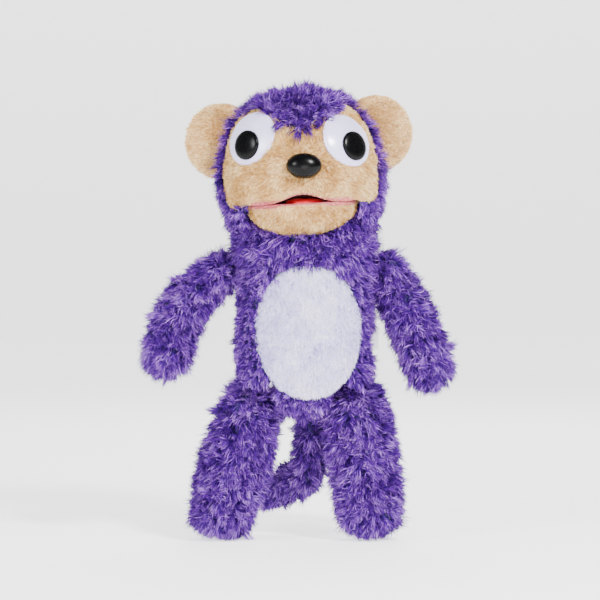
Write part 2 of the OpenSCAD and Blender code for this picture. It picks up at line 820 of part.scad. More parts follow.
module nose_pose() {
    z = mouth_z + nose_up;
    translate([nose_x, front_y(row_at(head_rows, z), nose_x) - 3 * run, z])
        rotate([90 - nose_tilt, 0, 0]) children();
}

module nose() {
    color(black_plastic) head_pose() nose_pose() {
        intersection() {
            hull() {
                for (side = [-1, 1]) translate([side * (nose_w - nose_h * 0.8) / 2, nose_h * 0.1, 0])
                    scale([1, 1, nose_out / (nose_h * 0.4)]) sphere(r = nose_h * 0.4, $fn = 24);
                translate([0, -nose_h * 0.14, 0])
                    scale([1, 1, nose_out / (nose_h * 0.4)]) sphere(r = nose_h * 0.36, $fn = 24);
            }
            translate([-30, -30, 0]) cube([60, 60, 30]);
        }
        translate([0, 0, -shank_l]) cylinder(r = shank_r, h = shank_l + 1, $fn = 32);
    }
}

module nose_washer() { color(white_plastic) head_pose() nose_pose() washer(); }

// ---- ears ----

// [how far out, back of the ear, front of the ear] as parts of its radius and its thickness
ear_rows = [[0, -0.66, 0.20], [0.35, -0.64, 0.22], [0.65, -0.54, 0.34], [0.83, -0.38, 0.40],
    [0.94, -0.20, 0.30], [1, 0.02, 0.08]];

module ear_section(t) {
    last = len(ear_rows) - 1;
    offset(delta = -t) polygon(concat([for (p = ear_rows) [p[0] * ear_r, p[1] * ear_t]],
        [for (k = [last : -1 : 0]) [ear_rows[k][0] * ear_r, ear_rows[k][2] * ear_t]],
        [[-ear_r / 2, ear_rows[0][2] * ear_t], [-ear_r / 2, ear_rows[0][1] * ear_t]]));
}

module ear_pose(side) {
    translate([side * ear_x, 6, mouth_z + ear_up]) rotate([0, 0, side * ear_turn])
        rotate([90, 0, 0]) children();
}

module ear_part(side, part) {
    split = -0.1 * ear_t;
    head_pose() difference() {
        ear_pose(side) rotate_extrude($fn = 40) intersection() {
            translate([0, -big / 2]) square([big, big]);
            if (part == "wadding") ear_section(skin + ease);
            else difference() {
                ear_section(0);
                ear_section(skin);
                translate([-big / 2, part == "front" ? split - big : split - seam]) square([big, big]);
            }
        }
        ear_room();
    }
}

// The ears stop at the head's cloth
module ear_room() {
    solid_of(inset(body_grid(head_rows), -seam));
}

module ear_left_front() { color(cream) ear_part(1, "front"); }
module ear_left_back() { color(cream) ear_part(1, "back"); }
module ear_left_wadding() { color(wadding) ear_part(1, "wadding"); }
module ear_right_front() { color(cream) ear_part(-1, "front"); }
module ear_right_back() { color(cream) ear_part(-1, "back"); }
module ear_right_wadding() { color(wadding) ear_part(-1, "wadding"); }

// ---- arms, legs and tail ----

module limb_skin(path, flat = false) {
    difference() {
        solid_of(limb_grid(path, flat));
        solid_of(inset(limb_grid(path, flat), skin));
        if (flat) end_pose(path) translate([0, 0, -3]) cylinder(r = sole_r + seam, h = 8, $fn = 32);
    }
}

// Square to the end of a limb, with z pointing away from it
module end_pose(path) {
    last = len(path) - 1;
    d = path_dir(path, last);
    translate(spot(path[last])) rotate([0, acos(d[2]), atan2(d[1], d[0])]) children();
}

module limb_filling(path, flat = false) {
    difference() {
        solid_of(inset(limb_grid(path, flat), skin + ease));
        if (flat) end_pose(path) translate([0, 0, -skin - ease]) cylinder(r = calf_r, h = 20, $fn = 32);
    }
}

module sole(path) {
    color(plush) end_pose(path) translate([0, 0, -skin]) cylinder(r = sole_r, h = skin, $fn = 48);
}

module shoulder(side) { place() translate([side * shoulder_x, 0, shoulder_z]) children(); }
module hip(side) { place() translate([side * hip_x, 0, hip_z]) children(); }
module tail_base() { place() translate(tail_root) children(); }

module arm_left_skin() { color(plush) shoulder(1) limb_skin(arm_left); }
module arm_right_skin() { color(plush) shoulder(-1) limb_skin(arm_right); }
module arm_left_filling() { color(wadding) shoulder(1) limb_filling(arm_left); }
module arm_right_filling() { color(wadding) shoulder(-1) limb_filling(arm_right); }
module leg_left_skin() { color(plush) hip(1) limb_skin(leg_left, true); }
module leg_right_skin() { color(plush) hip(-1) limb_skin(leg_right, true); }
module leg_left_filling() { color(wadding) hip(1) limb_filling(leg_left, true); }
module leg_right_filling() { color(wadding) hip(-1) limb_filling(leg_right, true); }
module leg_left_sole() { hip(1) sole(leg_left); }
module leg_right_sole() { hip(-1) sole(leg_right); }
module tail_skin() { color(plush) tail_base() limb_skin(tail); }
module tail_filling() { color(wadding) tail_base() limb_filling(tail); }

// The gathered end of a limb's cloth, sewn flat to the torso
module gather(side, ball_r) {
    color(plush) translate([-side * (ball_r + run), 0, 0]) rotate([0, -side * 90, 0])
        cylinder(r = ball_r * 0.62, h = gather_t, $fn = 32);
}

module shoulder_gather_left() { shoulder(1) gather(1, arm_top_r); }
module shoulder_gather_right() { shoulder(-1) gather(-1, arm_top_r); }
module hip_gather_left() { hip(1) gather(1, leg_top_r); }
module hip_gather_right() { hip(-1) gather(-1, leg_top_r); }
module tail_gather() {
    color(plush) tail_base() translate([0, 0, tail_r + run])
        cylinder(r = tail_r * 0.7, h = gather_t, $fn = 32);
}

torso_front_panel();
belly_patch();
torso_back_panel();
front_padding();
back_padding();
glove_lining();
sleeve_cuff();
care_label();
neck_panel();
throat_panel();
neck_lining();
head_cap();
face_panel();
head_filling_left();
head_filling_right();
upper_palate();
upper_mouth_board();
mouth_fold();
finger_pocket();
nose();
nose_washer();
eye_left();
pupil_left();
eye_washer_left();
eye_right();
pupil_right();
eye_washer_right();
ear_left_front();
ear_left_back();
ear_left_wadding();
ear_right_front();
ear_right_back();
ear_right_wadding();
chin_panel();
lower_palate();
lower_mouth_board();
tongue();
thumb_pocket();
chin_padding();
shoulder_gather_left();
shoulder_gather_right();
arm_left_skin();
arm_left_filling();
arm_right_skin();
arm_right_filling();
hip_gather_left();
hip_gather_right();
leg_left_skin();
leg_left_filling();
leg_left_sole();
leg_right_skin();
leg_right_filling();
leg_right_sole();
tail_gather();
tail_skin();
tail_filling();
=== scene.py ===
import bpy, bmesh, json, math
import numpy as np
from mathutils import Vector, Matrix, kdtree


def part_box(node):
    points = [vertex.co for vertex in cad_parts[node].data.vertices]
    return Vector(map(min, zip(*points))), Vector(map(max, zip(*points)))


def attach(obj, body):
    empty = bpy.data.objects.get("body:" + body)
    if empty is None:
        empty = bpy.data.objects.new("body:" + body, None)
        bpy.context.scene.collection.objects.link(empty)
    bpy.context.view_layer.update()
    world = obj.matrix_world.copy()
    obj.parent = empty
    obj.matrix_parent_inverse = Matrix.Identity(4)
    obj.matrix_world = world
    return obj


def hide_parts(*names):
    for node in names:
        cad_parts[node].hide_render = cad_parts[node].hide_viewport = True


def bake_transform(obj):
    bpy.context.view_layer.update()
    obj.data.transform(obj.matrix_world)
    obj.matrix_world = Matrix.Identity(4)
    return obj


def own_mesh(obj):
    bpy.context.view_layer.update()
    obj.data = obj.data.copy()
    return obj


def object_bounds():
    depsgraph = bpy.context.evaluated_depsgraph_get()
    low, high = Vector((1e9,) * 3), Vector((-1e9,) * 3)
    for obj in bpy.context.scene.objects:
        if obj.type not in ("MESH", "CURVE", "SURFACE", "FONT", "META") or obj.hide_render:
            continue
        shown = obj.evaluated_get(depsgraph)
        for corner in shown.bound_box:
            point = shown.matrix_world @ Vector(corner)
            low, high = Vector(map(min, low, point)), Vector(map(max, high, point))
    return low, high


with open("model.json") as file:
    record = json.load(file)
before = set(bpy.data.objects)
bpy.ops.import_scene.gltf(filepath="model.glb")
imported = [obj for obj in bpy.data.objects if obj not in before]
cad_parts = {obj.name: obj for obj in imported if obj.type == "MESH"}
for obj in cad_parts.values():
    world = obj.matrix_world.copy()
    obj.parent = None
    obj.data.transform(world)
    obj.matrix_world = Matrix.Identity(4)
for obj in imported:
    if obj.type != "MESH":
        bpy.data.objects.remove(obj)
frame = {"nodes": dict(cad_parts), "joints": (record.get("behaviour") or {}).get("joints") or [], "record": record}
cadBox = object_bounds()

nodes = frame["nodes"]
joints = {j["name"]: j for j in frame["joints"]}
mm = 0.001


# camera, light and floor

studio = {
    "distance": 2.6, "viewWidth": 0.528, "lookAt": (-0.0035, -0.10, 0.029), "lookDown": 1.5,
    "world": 0.40, "lampsAimAt": (0, -0.08, 0.03),
    "lamps": {  # where each one stands, its width in metres and its watts
        "key": ((1.0, -1.7, 1.5), 0.5, 108),
        "fill": ((-1.4, -1.5, 0.8), 0.7, 34),
        "back": ((0.2, 1.5, 1.3), 1.0, 30),
        "front": ((0.1, -2.3, 0.1), 0.9, 16),
    },
    "paper": "#fafafb", "paperGlow": 1.4, "paperDrop": 6 * mm, "paperWide": 12.0,
    "paperNear": -6.0, "paperFar": 3.2, "paperBend": 0.8, "paperTall": 4.0,
}


def linearColour(code):
    parts = [int(code[i:i + 2], 16) / 255 for i in (1, 3, 5)]
    return tuple(c / 12.92 if c <= 0.04045 else ((c + 0.055) / 1.055) ** 2.4 for c in parts) + (1.0,)


def aimedAt(obj, target):
    obj.rotation_euler = (Vector(target) - obj.location).to_track_quat("-Z", "Y").to_euler()


def areaLight(name, place, size, watts):
    light = bpy.data.lights.new(name, "AREA")
    light.shape, light.size, light.energy = "DISK", size, watts
    lamp = bpy.data.objects.new(name, light)
    lamp.location = place
    aimedAt(lamp, studio["lampsAimAt"])
    bpy.context.scene.collection.objects.link(lamp)


def meshFrom(name, points, faces):
    mesh = bpy.data.meshes.new(name)
    mesh.from_pydata([tuple(p) for p in points], [], faces)
    return smoothed(mesh)


def smoothed(mesh):
    for face in mesh.polygons:
        face.use_smooth = True
    return mesh


def cover(mesh, material):
    mesh.materials.clear()
    mesh.materials.append(material)


def buildStudio():
    look = Vector(studio["lookAt"])
    tilt = math.radians(studio["lookDown"])
    data = bpy.data.cameras.new("camera")
    data.sensor_width = 36
    data.lens = 36 * studio["distance"] / studio["viewWidth"]
    data.clip_end = 20
    camera = bpy.data.objects.new("camera", data)
    camera.location = look + studio["distance"] * Vector((0, -math.cos(tilt), math.sin(tilt)))
    aimedAt(camera, look)
    bpy.context.scene.collection.objects.link(camera)
    bpy.context.scene.camera = camera

    for name, (place, size, watts) in studio["lamps"].items():
        areaLight(name, place, size, watts)
    world = bpy.data.worlds.new("studio")
    bpy.context.scene.world = world
    world.use_nodes = True
    world.node_tree.nodes["Background"].inputs[0].default_value = (1, 1, 1, 1)
    world.node_tree.nodes["Background"].inputs[1].default_value = studio["world"]

    # a floor that curves up behind, like a paper sweep
    z = cadBox[0].z - studio["paperDrop"]
    far, bend = studio["paperFar"], studio["paperBend"]
    rows = [(studio["paperNear"], z), (far, z)]
    rows += [(far + bend * math.sin(a), z + bend * (1 - math.cos(a)))
             for a in np.linspace(0.1, math.pi / 2, 12)]
    rows += [(far + bend, z + studio["paperTall"])]
    points = [(side * studio["paperWide"] / 2, y, h) for y, h in rows for side in (-1, 1)]
    faces = [(2 * i, 2 * i + 1, 2 * i + 3, 2 * i + 2) for i in range(len(rows) - 1)]
    sweep = bpy.data.objects.new("sweep", meshFrom("sweep", points, faces))
    bpy.context.scene.collection.objects.link(sweep)
    sweep.data.materials.append(backgroundPaper())


# materials

def addNode(tree, kind, props=None, values=None, links=None):
    node = tree.nodes.new(kind)
    for key, value in (props or {}).items():
        setattr(node, key, value)
    for key, value in (values or {}).items():
        node.inputs[key].default_value = value
    for key, source in (links or {}).items():
        tree.links.new(source, node.inputs[key])
    return node


def blankMaterial(name, values):
    material = bpy.data.materials.new(name)
    material.use_nodes = True
    tree = material.node_tree
    shader = tree.nodes["Principled BSDF"]
    for key, value in values.items():
        shader.inputs[key].default_value = value
    return material, tree, shader


def setStops(ramp, stops):
    band = ramp.color_ramp
    band.elements[0].position, band.elements[0].color = stops[0][0], linearColour(stops[0][1])
    band.elements[1].position, band.elements[1].color = stops[-1][0], linearColour(stops[-1][1])
    for place, code in stops[1:-1]:
        band.elements.new(place).color = linearColour(code)


def objectNoise(tree, perMetre, detail=4, rough=0.6):
    coord = addNode(tree, "ShaderNodeTexCoord")
    return addNode(tree, "ShaderNodeTexNoise",
                   values={"Scale": perMetre, "Detail": detail, "Roughness": rough},
                   links={"Vector": coord.outputs["Object"]}).outputs["Fac"]


def embossed(tree, shader, height, strength, depth):
    # presses a pattern into the surface, depth metres deep
    bump = addNode(tree, "ShaderNodeBump", values={"Strength": strength, "Distance": depth},
                   links={"Height": height})
    tree.links.new(bump.outputs["Normal"], shader.inputs["Normal"])


def backgroundPaper():
    # background paper, matt, with a faint tooth and lit from behind
    colour = linearColour(studio["paper"])
    material, tree, shader = blankMaterial("backgroundPaper", {
        "Base Color": colour, "Roughness": 0.9,
        "Emission Color": colour, "Emission Strength": studio["paperGlow"]})
    embossed(tree, shader, objectNoise(tree, 900), 0.05, 0.3 * mm)
    return material


def pileMaterial(name, dark, middle, light, rough, gloss, sheen, tint):
    # One pile fibre runs from its root (v = 0) to its tip (v = 1), and u says how light its yarn is.
    # Each list is root to tip, darker at the root as painted shade deep in the pile and lighter at the tip as
    # painted highlight. A mass of fine yarn scatters light, so it has little gloss of its own.
    material, tree, shader = blankMaterial(name, {
        "Roughness": rough, "IOR": 1.5, "Specular IOR Level": gloss,
        "Sheen Weight": sheen, "Sheen Roughness": 0.4, "Sheen Tint": linearColour(tint)})
    uv = addNode(tree, "ShaderNodeUVMap", props={"uv_map": "OFBake"})
    split = addNode(tree, "ShaderNodeSeparateXYZ", links={"Vector": uv.outputs["UV"]})
    colours = []
    for stops in (dark, middle, light):
        ramp = addNode(tree, "ShaderNodeValToRGB", links={"Fac": split.outputs["Y"]})
        setStops(ramp, stops)
        colours.append(ramp.outputs["Color"])
    mixed = colours[0]
    for begin, colour in ((0.0, colours[1]), (0.5, colours[2])):
        share = addNode(tree, "ShaderNodeMapRange", values={"From Min": begin, "From Max": begin + 0.5},
                        links={"Value": split.outputs["X"]})
        mixed = addNode(tree, "ShaderNodeMixRGB", links={
            "Fac": share.outputs["Result"], "Color1": mixed, "Color2": colour}).outputs["Color"]
    tree.links.new(mixed, shader.inputs["Base Color"])
    return material


def clothMaterial(name, colours, patchSize, threadSize, rough=0.8, sheen=0.2, depth=0.0004):
    # colours vary in patches of patchSize mm, and threadSize mm is the width of one thread or hair
    material, tree, shader = blankMaterial(name, {
        "Roughness": rough, "IOR": 1.5, "Sheen Weight": sheen, "Sheen Roughness": 0.5})
    ramp = addNode(tree, "ShaderNodeValToRGB", links={"Fac": objectNoise(tree, 1000 / patchSize, 5, 0.65)})
    setStops(ramp, [(0.3, colours[0]), (0.5, colours[1]), (0.7, colours[2])])
    tree.links.new(ramp.outputs["Color"], shader.inputs["Base Color"])
    embossed(tree, shader, objectNoise(tree, 1000 / threadSize, 3, 0.7), 0.6, depth)
    return material


def wovenMaterial(name, colours, threadSize, rough=0.75, ribs=False):
    # two sets of threads threadSize mm apart, or ribs of elastic alone
    material, tree, shader = blankMaterial(name, {"Roughness": rough, "IOR": 1.5, "Sheen Weight": 0.15})
    coord = addNode(tree, "ShaderNodeTexCoord")
    waves = []
    for axis in ("X",) if ribs else ("X", "Z"):
        waves.append(addNode(tree, "ShaderNodeTexWave", props={"bands_direction": axis},
                             values={"Scale": 1000 / threadSize / 6.28, "Distortion": 0.6,
                                     "Detail": 1.0},
                             links={"Vector": coord.outputs["Object"]}))
    height = waves[0].outputs["Fac"]
    if not ribs:
        height = addNode(tree, "ShaderNodeMath", props={"operation": "MULTIPLY"}, links={
            0: waves[0].outputs["Fac"], 1: waves[1].outputs["Fac"]}).outputs["Value"]
    ramp = addNode(tree, "ShaderNodeValToRGB", links={"Fac": height})
    setStops(ramp, [(0.0, colours[0]), (1.0, colours[1])])
    tree.links.new(ramp.outputs["Color"], shader.inputs["Base Color"])
    embossed(tree, shader, height, 0.5, 0.5 * mm)
    return material


def mouldedMaterial(name, colours, rough, coat, grain=0.012, gloss=0.5):
    # moulded ABS, polished in the tool: a faint swirl in the colour and a little waviness in the gloss
    material, tree, shader = blankMaterial(name, {
        "Roughness": rough, "IOR": 1.54, "Specular IOR Level": gloss,
        "Coat Weight": coat, "Coat Roughness": 0.04})
    ramp = addNode(tree, "ShaderNodeValToRGB", links={"Fac": objectNoise(tree, 60, 3)})
    setStops(ramp, [(0.3, colours[0]), (0.7, colours[1])])
    tree.links.new(ramp.outputs["Color"], shader.inputs["Base Color"])
    spots = addNode(tree, "ShaderNodeMapRange", values={"To Min": rough * 0.8, "To Max": rough * 1.3},
                    links={"Value": objectNoise(tree, 400, 4)})
    tree.links.new(spots.outputs["Result"], shader.inputs["Roughness"])
    embossed(tree, shader, objectNoise(tree, 120, 2), grain, 0.5 * mm)
    return material


# acrylic plush: crimped silky yarn, near black violet at its roots as painted shade deep in the pile and lavender
# at its tips as painted highlight
purplePile = pileMaterial(
    "crimpedAcrylicPile",
    [(0.0, "#060018"), (0.45, "#14003a"), (1.0, "#2a0360")],
    [(0.0, "#0c0024"), (0.4, "#340474"), (1.0, "#7026ac")],
    [(0.0, "#240458"), (0.4, "#7a38ba"), (1.0, "#cc98f2")],
    0.42, 0.14, 0.0, "#c8b4f5")
# short sheared cream pile, darkened to tan towards its roots as painted shade deep in the pile
creamPile = pileMaterial(
    "shearedCreamPile",
    [(0.0, "#6a3c12"), (0.5, "#a06c2c"), (1.0, "#b88644")],
    [(0.0, "#92642a"), (0.5, "#c9994e"), (1.0, "#dab070")],
    [(0.0, "#b98d4c"), (0.5, "#ebca8c"), (1.0, "#fae4b8")],
    0.6, 0.25, 0.1, "#fff1dc")
# short sheared white pile with a lavender tint, darkened towards its roots as painted shade deep in the pile
whitePile = pileMaterial(
    "shearedWhitePile",
    [(0.0, "#8c82c4"), (0.5, "#b4aae2"), (1.0, "#c8bef0")],
    [(0.0, "#b4aae0"), (0.5, "#dcd4fc"), (1.0, "#ebe5ff")],
    [(0.0, "#d0c8f4"), (0.5, "#f2edff"), (1.0, "#fcfaff")],
    0.65, 0.25, 0.1, "#ffffff")
# the lips' edge: short brushed pink, darkened towards its roots as painted shade deep in the pile
pinkPile = pileMaterial(
    "brushedPinkEdge",
    [(0.0, "#a83848"), (0.5, "#c05a62"), (1.0, "#cc7474")],
    [(0.0, "#bc4c58"), (0.5, "#d07878"), (1.0, "#e09a90")],
    [(0.0, "#c86068"), (0.5, "#de9490"), (1.0, "#f0bcae")],
    0.6, 0.2, 0.1, "#ffffff")
purpleBacking = clothMaterial("knittedBackingPurple", ["#120634", "#1a0a48", "#26105e"], 12, 0.8)
creamBacking = clothMaterial("knittedBackingCream", ["#a87a48", "#bf9462", "#d2ac7c"], 16, 0.6)
whiteBacking = clothMaterial("knittedBackingWhite", ["#d5d2ea", "#e6e4f4", "#f4f3fb"], 20, 0.6)
# the mouth's red velour lining, darkened as painted shade inside the mouth
shadedMouthVelour = clothMaterial("brushedRedVelour", ["#52020c", "#6e0612", "#8c0a1a"], 9, 0.5, 0.7, 0.05)
tongueVelour = clothMaterial("brushedScarletVelour", ["#b8000c", "#e00414", "#f4101e"], 9, 0.5, 0.5, 0.05)
pinkBinding = clothMaterial("satinBindingPink", ["#c8606c", "#d98080", "#e09a92"], 6, 0.4, 0.45, 0.4, 0.0002)
fillingFibre = clothMaterial("polyesterFibreFilling", ["#dedcd6", "#ececea", "#fafaf8"],
                             8, 1.2, 0.85, 0.3, 0.002)
liningCloth = wovenMaterial("wovenCottonLining", ["#2a2148", "#4a3f76"], 0.9)
elasticRib = wovenMaterial("ribbedElasticWebbing", ["#30265a", "#5a4d92"], 1.8, 0.6, True)
labelSatin = wovenMaterial("wovenSatinTape", ["#dcdce2", "#fbfbfd"], 0.5, 0.35)
pressedBoard = clothMaterial("pressedGreyBoard", ["#85806f", "#98927f", "#aaa593"], 5, 0.7, 0.9, 0.0, 0.0002)
whiteAbs = mouldedMaterial("mouldedAbsWhite", ["#d2caf6", "#dcd5fa"], 0.24, 0.2)
blackAbs = mouldedMaterial("mouldedAbsBlack", ["#010102", "#030304"], 0.26, 0.0, gloss=0.13)
nylonWasher = mouldedMaterial("mouldedNylonNatural", ["#dcdad2", "#e9e8e2"], 0.45, 0.0, 0.05)

buildStudio()
print("studio and materials ready")


# shapes taken from the frame

def addPiece(name, mesh, body, material, stands=()):
    piece = bpy.data.objects.new(name, mesh)
    bpy.context.scene.collection.objects.link(piece)
    cover(mesh, material)
    if body:
        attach(piece, body)
    if stands:
        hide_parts(*stands)
    return piece


def arrays(mesh):
    # a mesh's points and the triangles between them
    points = np.empty(len(mesh.vertices) * 3)
    mesh.vertices.foreach_get("co", points)
    mesh.calc_loop_triangles()
    tris = np.empty(len(mesh.loop_triangles) * 3, dtype=np.int64)
    mesh.loop_triangles.foreach_get("vertices", tris)
    return points.reshape(-1, 3), tris.reshape(-1, 3)


def discFrame(node):
    # middle of a flat ring, and its axis towards the front
    points = arrays(nodes[node].data)[0]
    spread = points - points.mean(0)
    axis = np.linalg.svd(spread, full_matrices=False)[2][2]
    return Vector(points.mean(0)), Vector(axis if axis[1] < 0 else -axis)


skin = {"weld": 0.02 * mm, "thinnest": 0.05 * mm, "facing": 0.28}


def outerSkin(name, fromNodes, facing, levels=1):
    # keeps the faces of the CAD cloth that look outwards, and rounds them off
    made = bmesh.new()
    for node in fromNodes:
        made.from_mesh(nodes[node].data)
    bmesh.ops.remove_doubles(made, verts=made.verts, dist=skin["weld"])
    made.normal_update()
    away = [f for f in made.faces
            if facing(np.array(f.calc_center_median()), np.array(f.normal)) < skin["facing"]]
    bmesh.ops.delete(made, geom=away, context="FACES")
    bmesh.ops.dissolve_degenerate(made, dist=skin["thinnest"], edges=made.edges)
    bmesh.ops.join_triangles(made, faces=made.faces, cmp_seam=False, angle_face_threshold=0.6,
                             angle_shape_threshold=1.2)
    mesh = bpy.data.meshes.new(name)
    made.to_mesh(mesh)
    made.free()
    return rounded(mesh, levels)


def rounded(mesh, levels):
    smoothed(mesh)
    if not levels:
        return mesh
    holder = bpy.data.objects.new("holder", mesh)
    bpy.context.scene.collection.objects.link(holder)
    sub = holder.modifiers.new("sub", "SUBSURF")
    sub.levels = levels
    sub.boundary_smooth = "PRESERVE_CORNERS"
    smooth = bpy.data.meshes.new_from_object(holder.evaluated_get(bpy.context.evaluated_depsgraph_get()))
    smooth.name = mesh.name
    bpy.data.objects.remove(holder)
    return smoothed(smooth)


def fromAxis(low, high):
    # how squarely a face looks away from the line between two points
    low, high = np.array(low, float), np.array(high, float)
    along = high - low
    def facing(centre, normal):
        t = np.clip(np.dot(centre - low, along) / np.dot(along, along), 0, 1)
        out = centre - (low + t * along)
        return float(np.dot(out / (np.linalg.norm(out) + 1e-9), normal))
    return facing


def closedShell(name, node, grow):
    # the outer surface alone of a stuffed tube, moved out by grow
    made = bmesh.new()
    made.from_mesh(nodes[node].data)
    bmesh.ops.remove_doubles(made, verts=made.verts, dist=skin["weld"])
    made.normal_update()
    left, groups = set(made.faces), []
    while left:
        seed = left.pop()
        group, edge = [seed], [seed]
        while edge:
            face = edge.pop()
            for e in face.edges:
                for other in e.link_faces:
                    if other in left:
                        left.remove(other)
                        group.append(other)
                        edge.append(other)
        groups.append(group)
    heights = [[f.calc_center_median().z for f in g] for g in groups]
    tallest = max(range(len(groups)), key=lambda i: max(heights[i]) - min(heights[i]))
    inner = [f for i, g in enumerate(groups) if i != tallest for f in g]
    bmesh.ops.delete(made, geom=inner, context="FACES")
    made.normal_update()
    for v in made.verts:
        v.co += v.normal * grow
    mesh = bpy.data.meshes.new(name)
    made.to_mesh(mesh)
    made.free()
    return mesh


# padded cloth

stuffing = {"voxel": 5.0 * mm, "pressure": 4.0, "frames": 20, "shrink": 0.4 * mm}


def stuffed(mesh, cap, keepStill):
    # remesh, swell under cloth pressure, and hold each point within cap of where it began
    smoothed(mesh)
    pillow = bpy.data.objects.new("pillow", mesh)
    bpy.context.scene.collection.objects.link(pillow)
    bpy.context.view_layer.objects.active = pillow
    remesh = pillow.modifiers.new("even", "REMESH")
    remesh.mode, remesh.voxel_size, remesh.use_smooth_shade = "VOXEL", stuffing["voxel"], True
    bpy.ops.object.modifier_apply(modifier="even")
    start = arrays(pillow.data)[0]
    normals = np.array([v.normal for v in pillow.data.vertices])
    begin = start - normals * stuffing["shrink"]
    pillow.data.vertices.foreach_set("co", begin.ravel())
    held = pillow.vertex_groups.new(name="held")
    for i, p in enumerate(start):
        if keepStill(p):
            held.add([i], 1.0, "REPLACE")
    cloth = pillow.modifiers.new("cloth", "CLOTH")
    rules = cloth.settings
    rules.use_pressure, rules.uniform_pressure_force = True, stuffing["pressure"]
    rules.vertex_group_mass = "held"
    rules.quality, rules.mass = 5, 0.25
    rules.tension_stiffness = rules.compression_stiffness = 12
    rules.bending_stiffness = 0.5
    rules.effector_weights.gravity = 0
    cloth.collision_settings.use_collision = False
    scene = bpy.context.scene
    for step in range(1, stuffing["frames"] + 1):
        scene.frame_set(step)
    swollen = bpy.data.meshes.new_from_object(pillow.evaluated_get(bpy.context.evaluated_depsgraph_get()))
    end = arrays(swollen)[0]
    move = end - start
    far = np.linalg.norm(move, axis=1, keepdims=True)
    end = start + move * np.minimum(1, cap / np.maximum(far, 1e-9))
    swollen.vertices.foreach_set("co", end.ravel())
    bpy.data.objects.remove(pillow)
    scene.frame_set(1)
    return rounded(swollen, 1)


# pile

def latticeNoise(points, cell, seed):
    # smooth random vectors, one knot every cell metres
    grid = points / cell
    base = np.floor(grid).astype(np.int64)
    part = grid - base
    part = part * part * (3 - 2 * part)
    total = np.zeros((len(points), 3))
    for corner in range(8):
        step = np.array([(corner >> k) & 1 for k in range(3)])
        knot = base + step
        mixed = (knot[:, 0] * 73856093) ^ (knot[:, 1] * 19349663)
        mixed = mixed ^ (knot[:, 2] * 83492791) ^ (seed * 2654435761)
        weight = np.prod(np.where(step, part, 1 - part), axis=1)[:, None]
        values = np.stack([((mixed * (k * 2 + 1) * 40503 + k * 977) >> 7 & 65535) / 32767.5 - 1
                           for k in range(3)], 1)
        total += weight * values
    return total


def unitRows(v):
    return v / np.maximum(np.linalg.norm(v, axis=1, keepdims=True), 1e-9)


def scattered(mesh, perSquareMm, rng):
    points, tris = arrays(mesh)
    normals = np.empty(len(mesh.vertices) * 3)
    mesh.vertices.foreach_get("normal", normals)
    normals = normals.reshape(-1, 3)
    a, b, c = points[tris[:, 0]], points[tris[:, 1]], points[tris[:, 2]]
    area = np.linalg.norm(np.cross(b - a, c - a), axis=1) / 2
    count = int(area.sum() * 1e6 * perSquareMm)
    pick = rng.choice(len(tris), count, p=area / area.sum())
    u, v = rng.random(count), rng.random(count)
    flip = u + v > 1
    u[flip], v[flip] = 1 - u[flip], 1 - v[flip]
    w = 1 - u - v
    place = a[pick] * w[:, None] + b[pick] * u[:, None] + c[pick] * v[:, None]
    normal = unitRows(normals[tris[pick, 0]] * w[:, None] + normals[tris[pick, 1]] * u[:, None]
                      + normals[tris[pick, 2]] * v[:, None])
    return place, normal


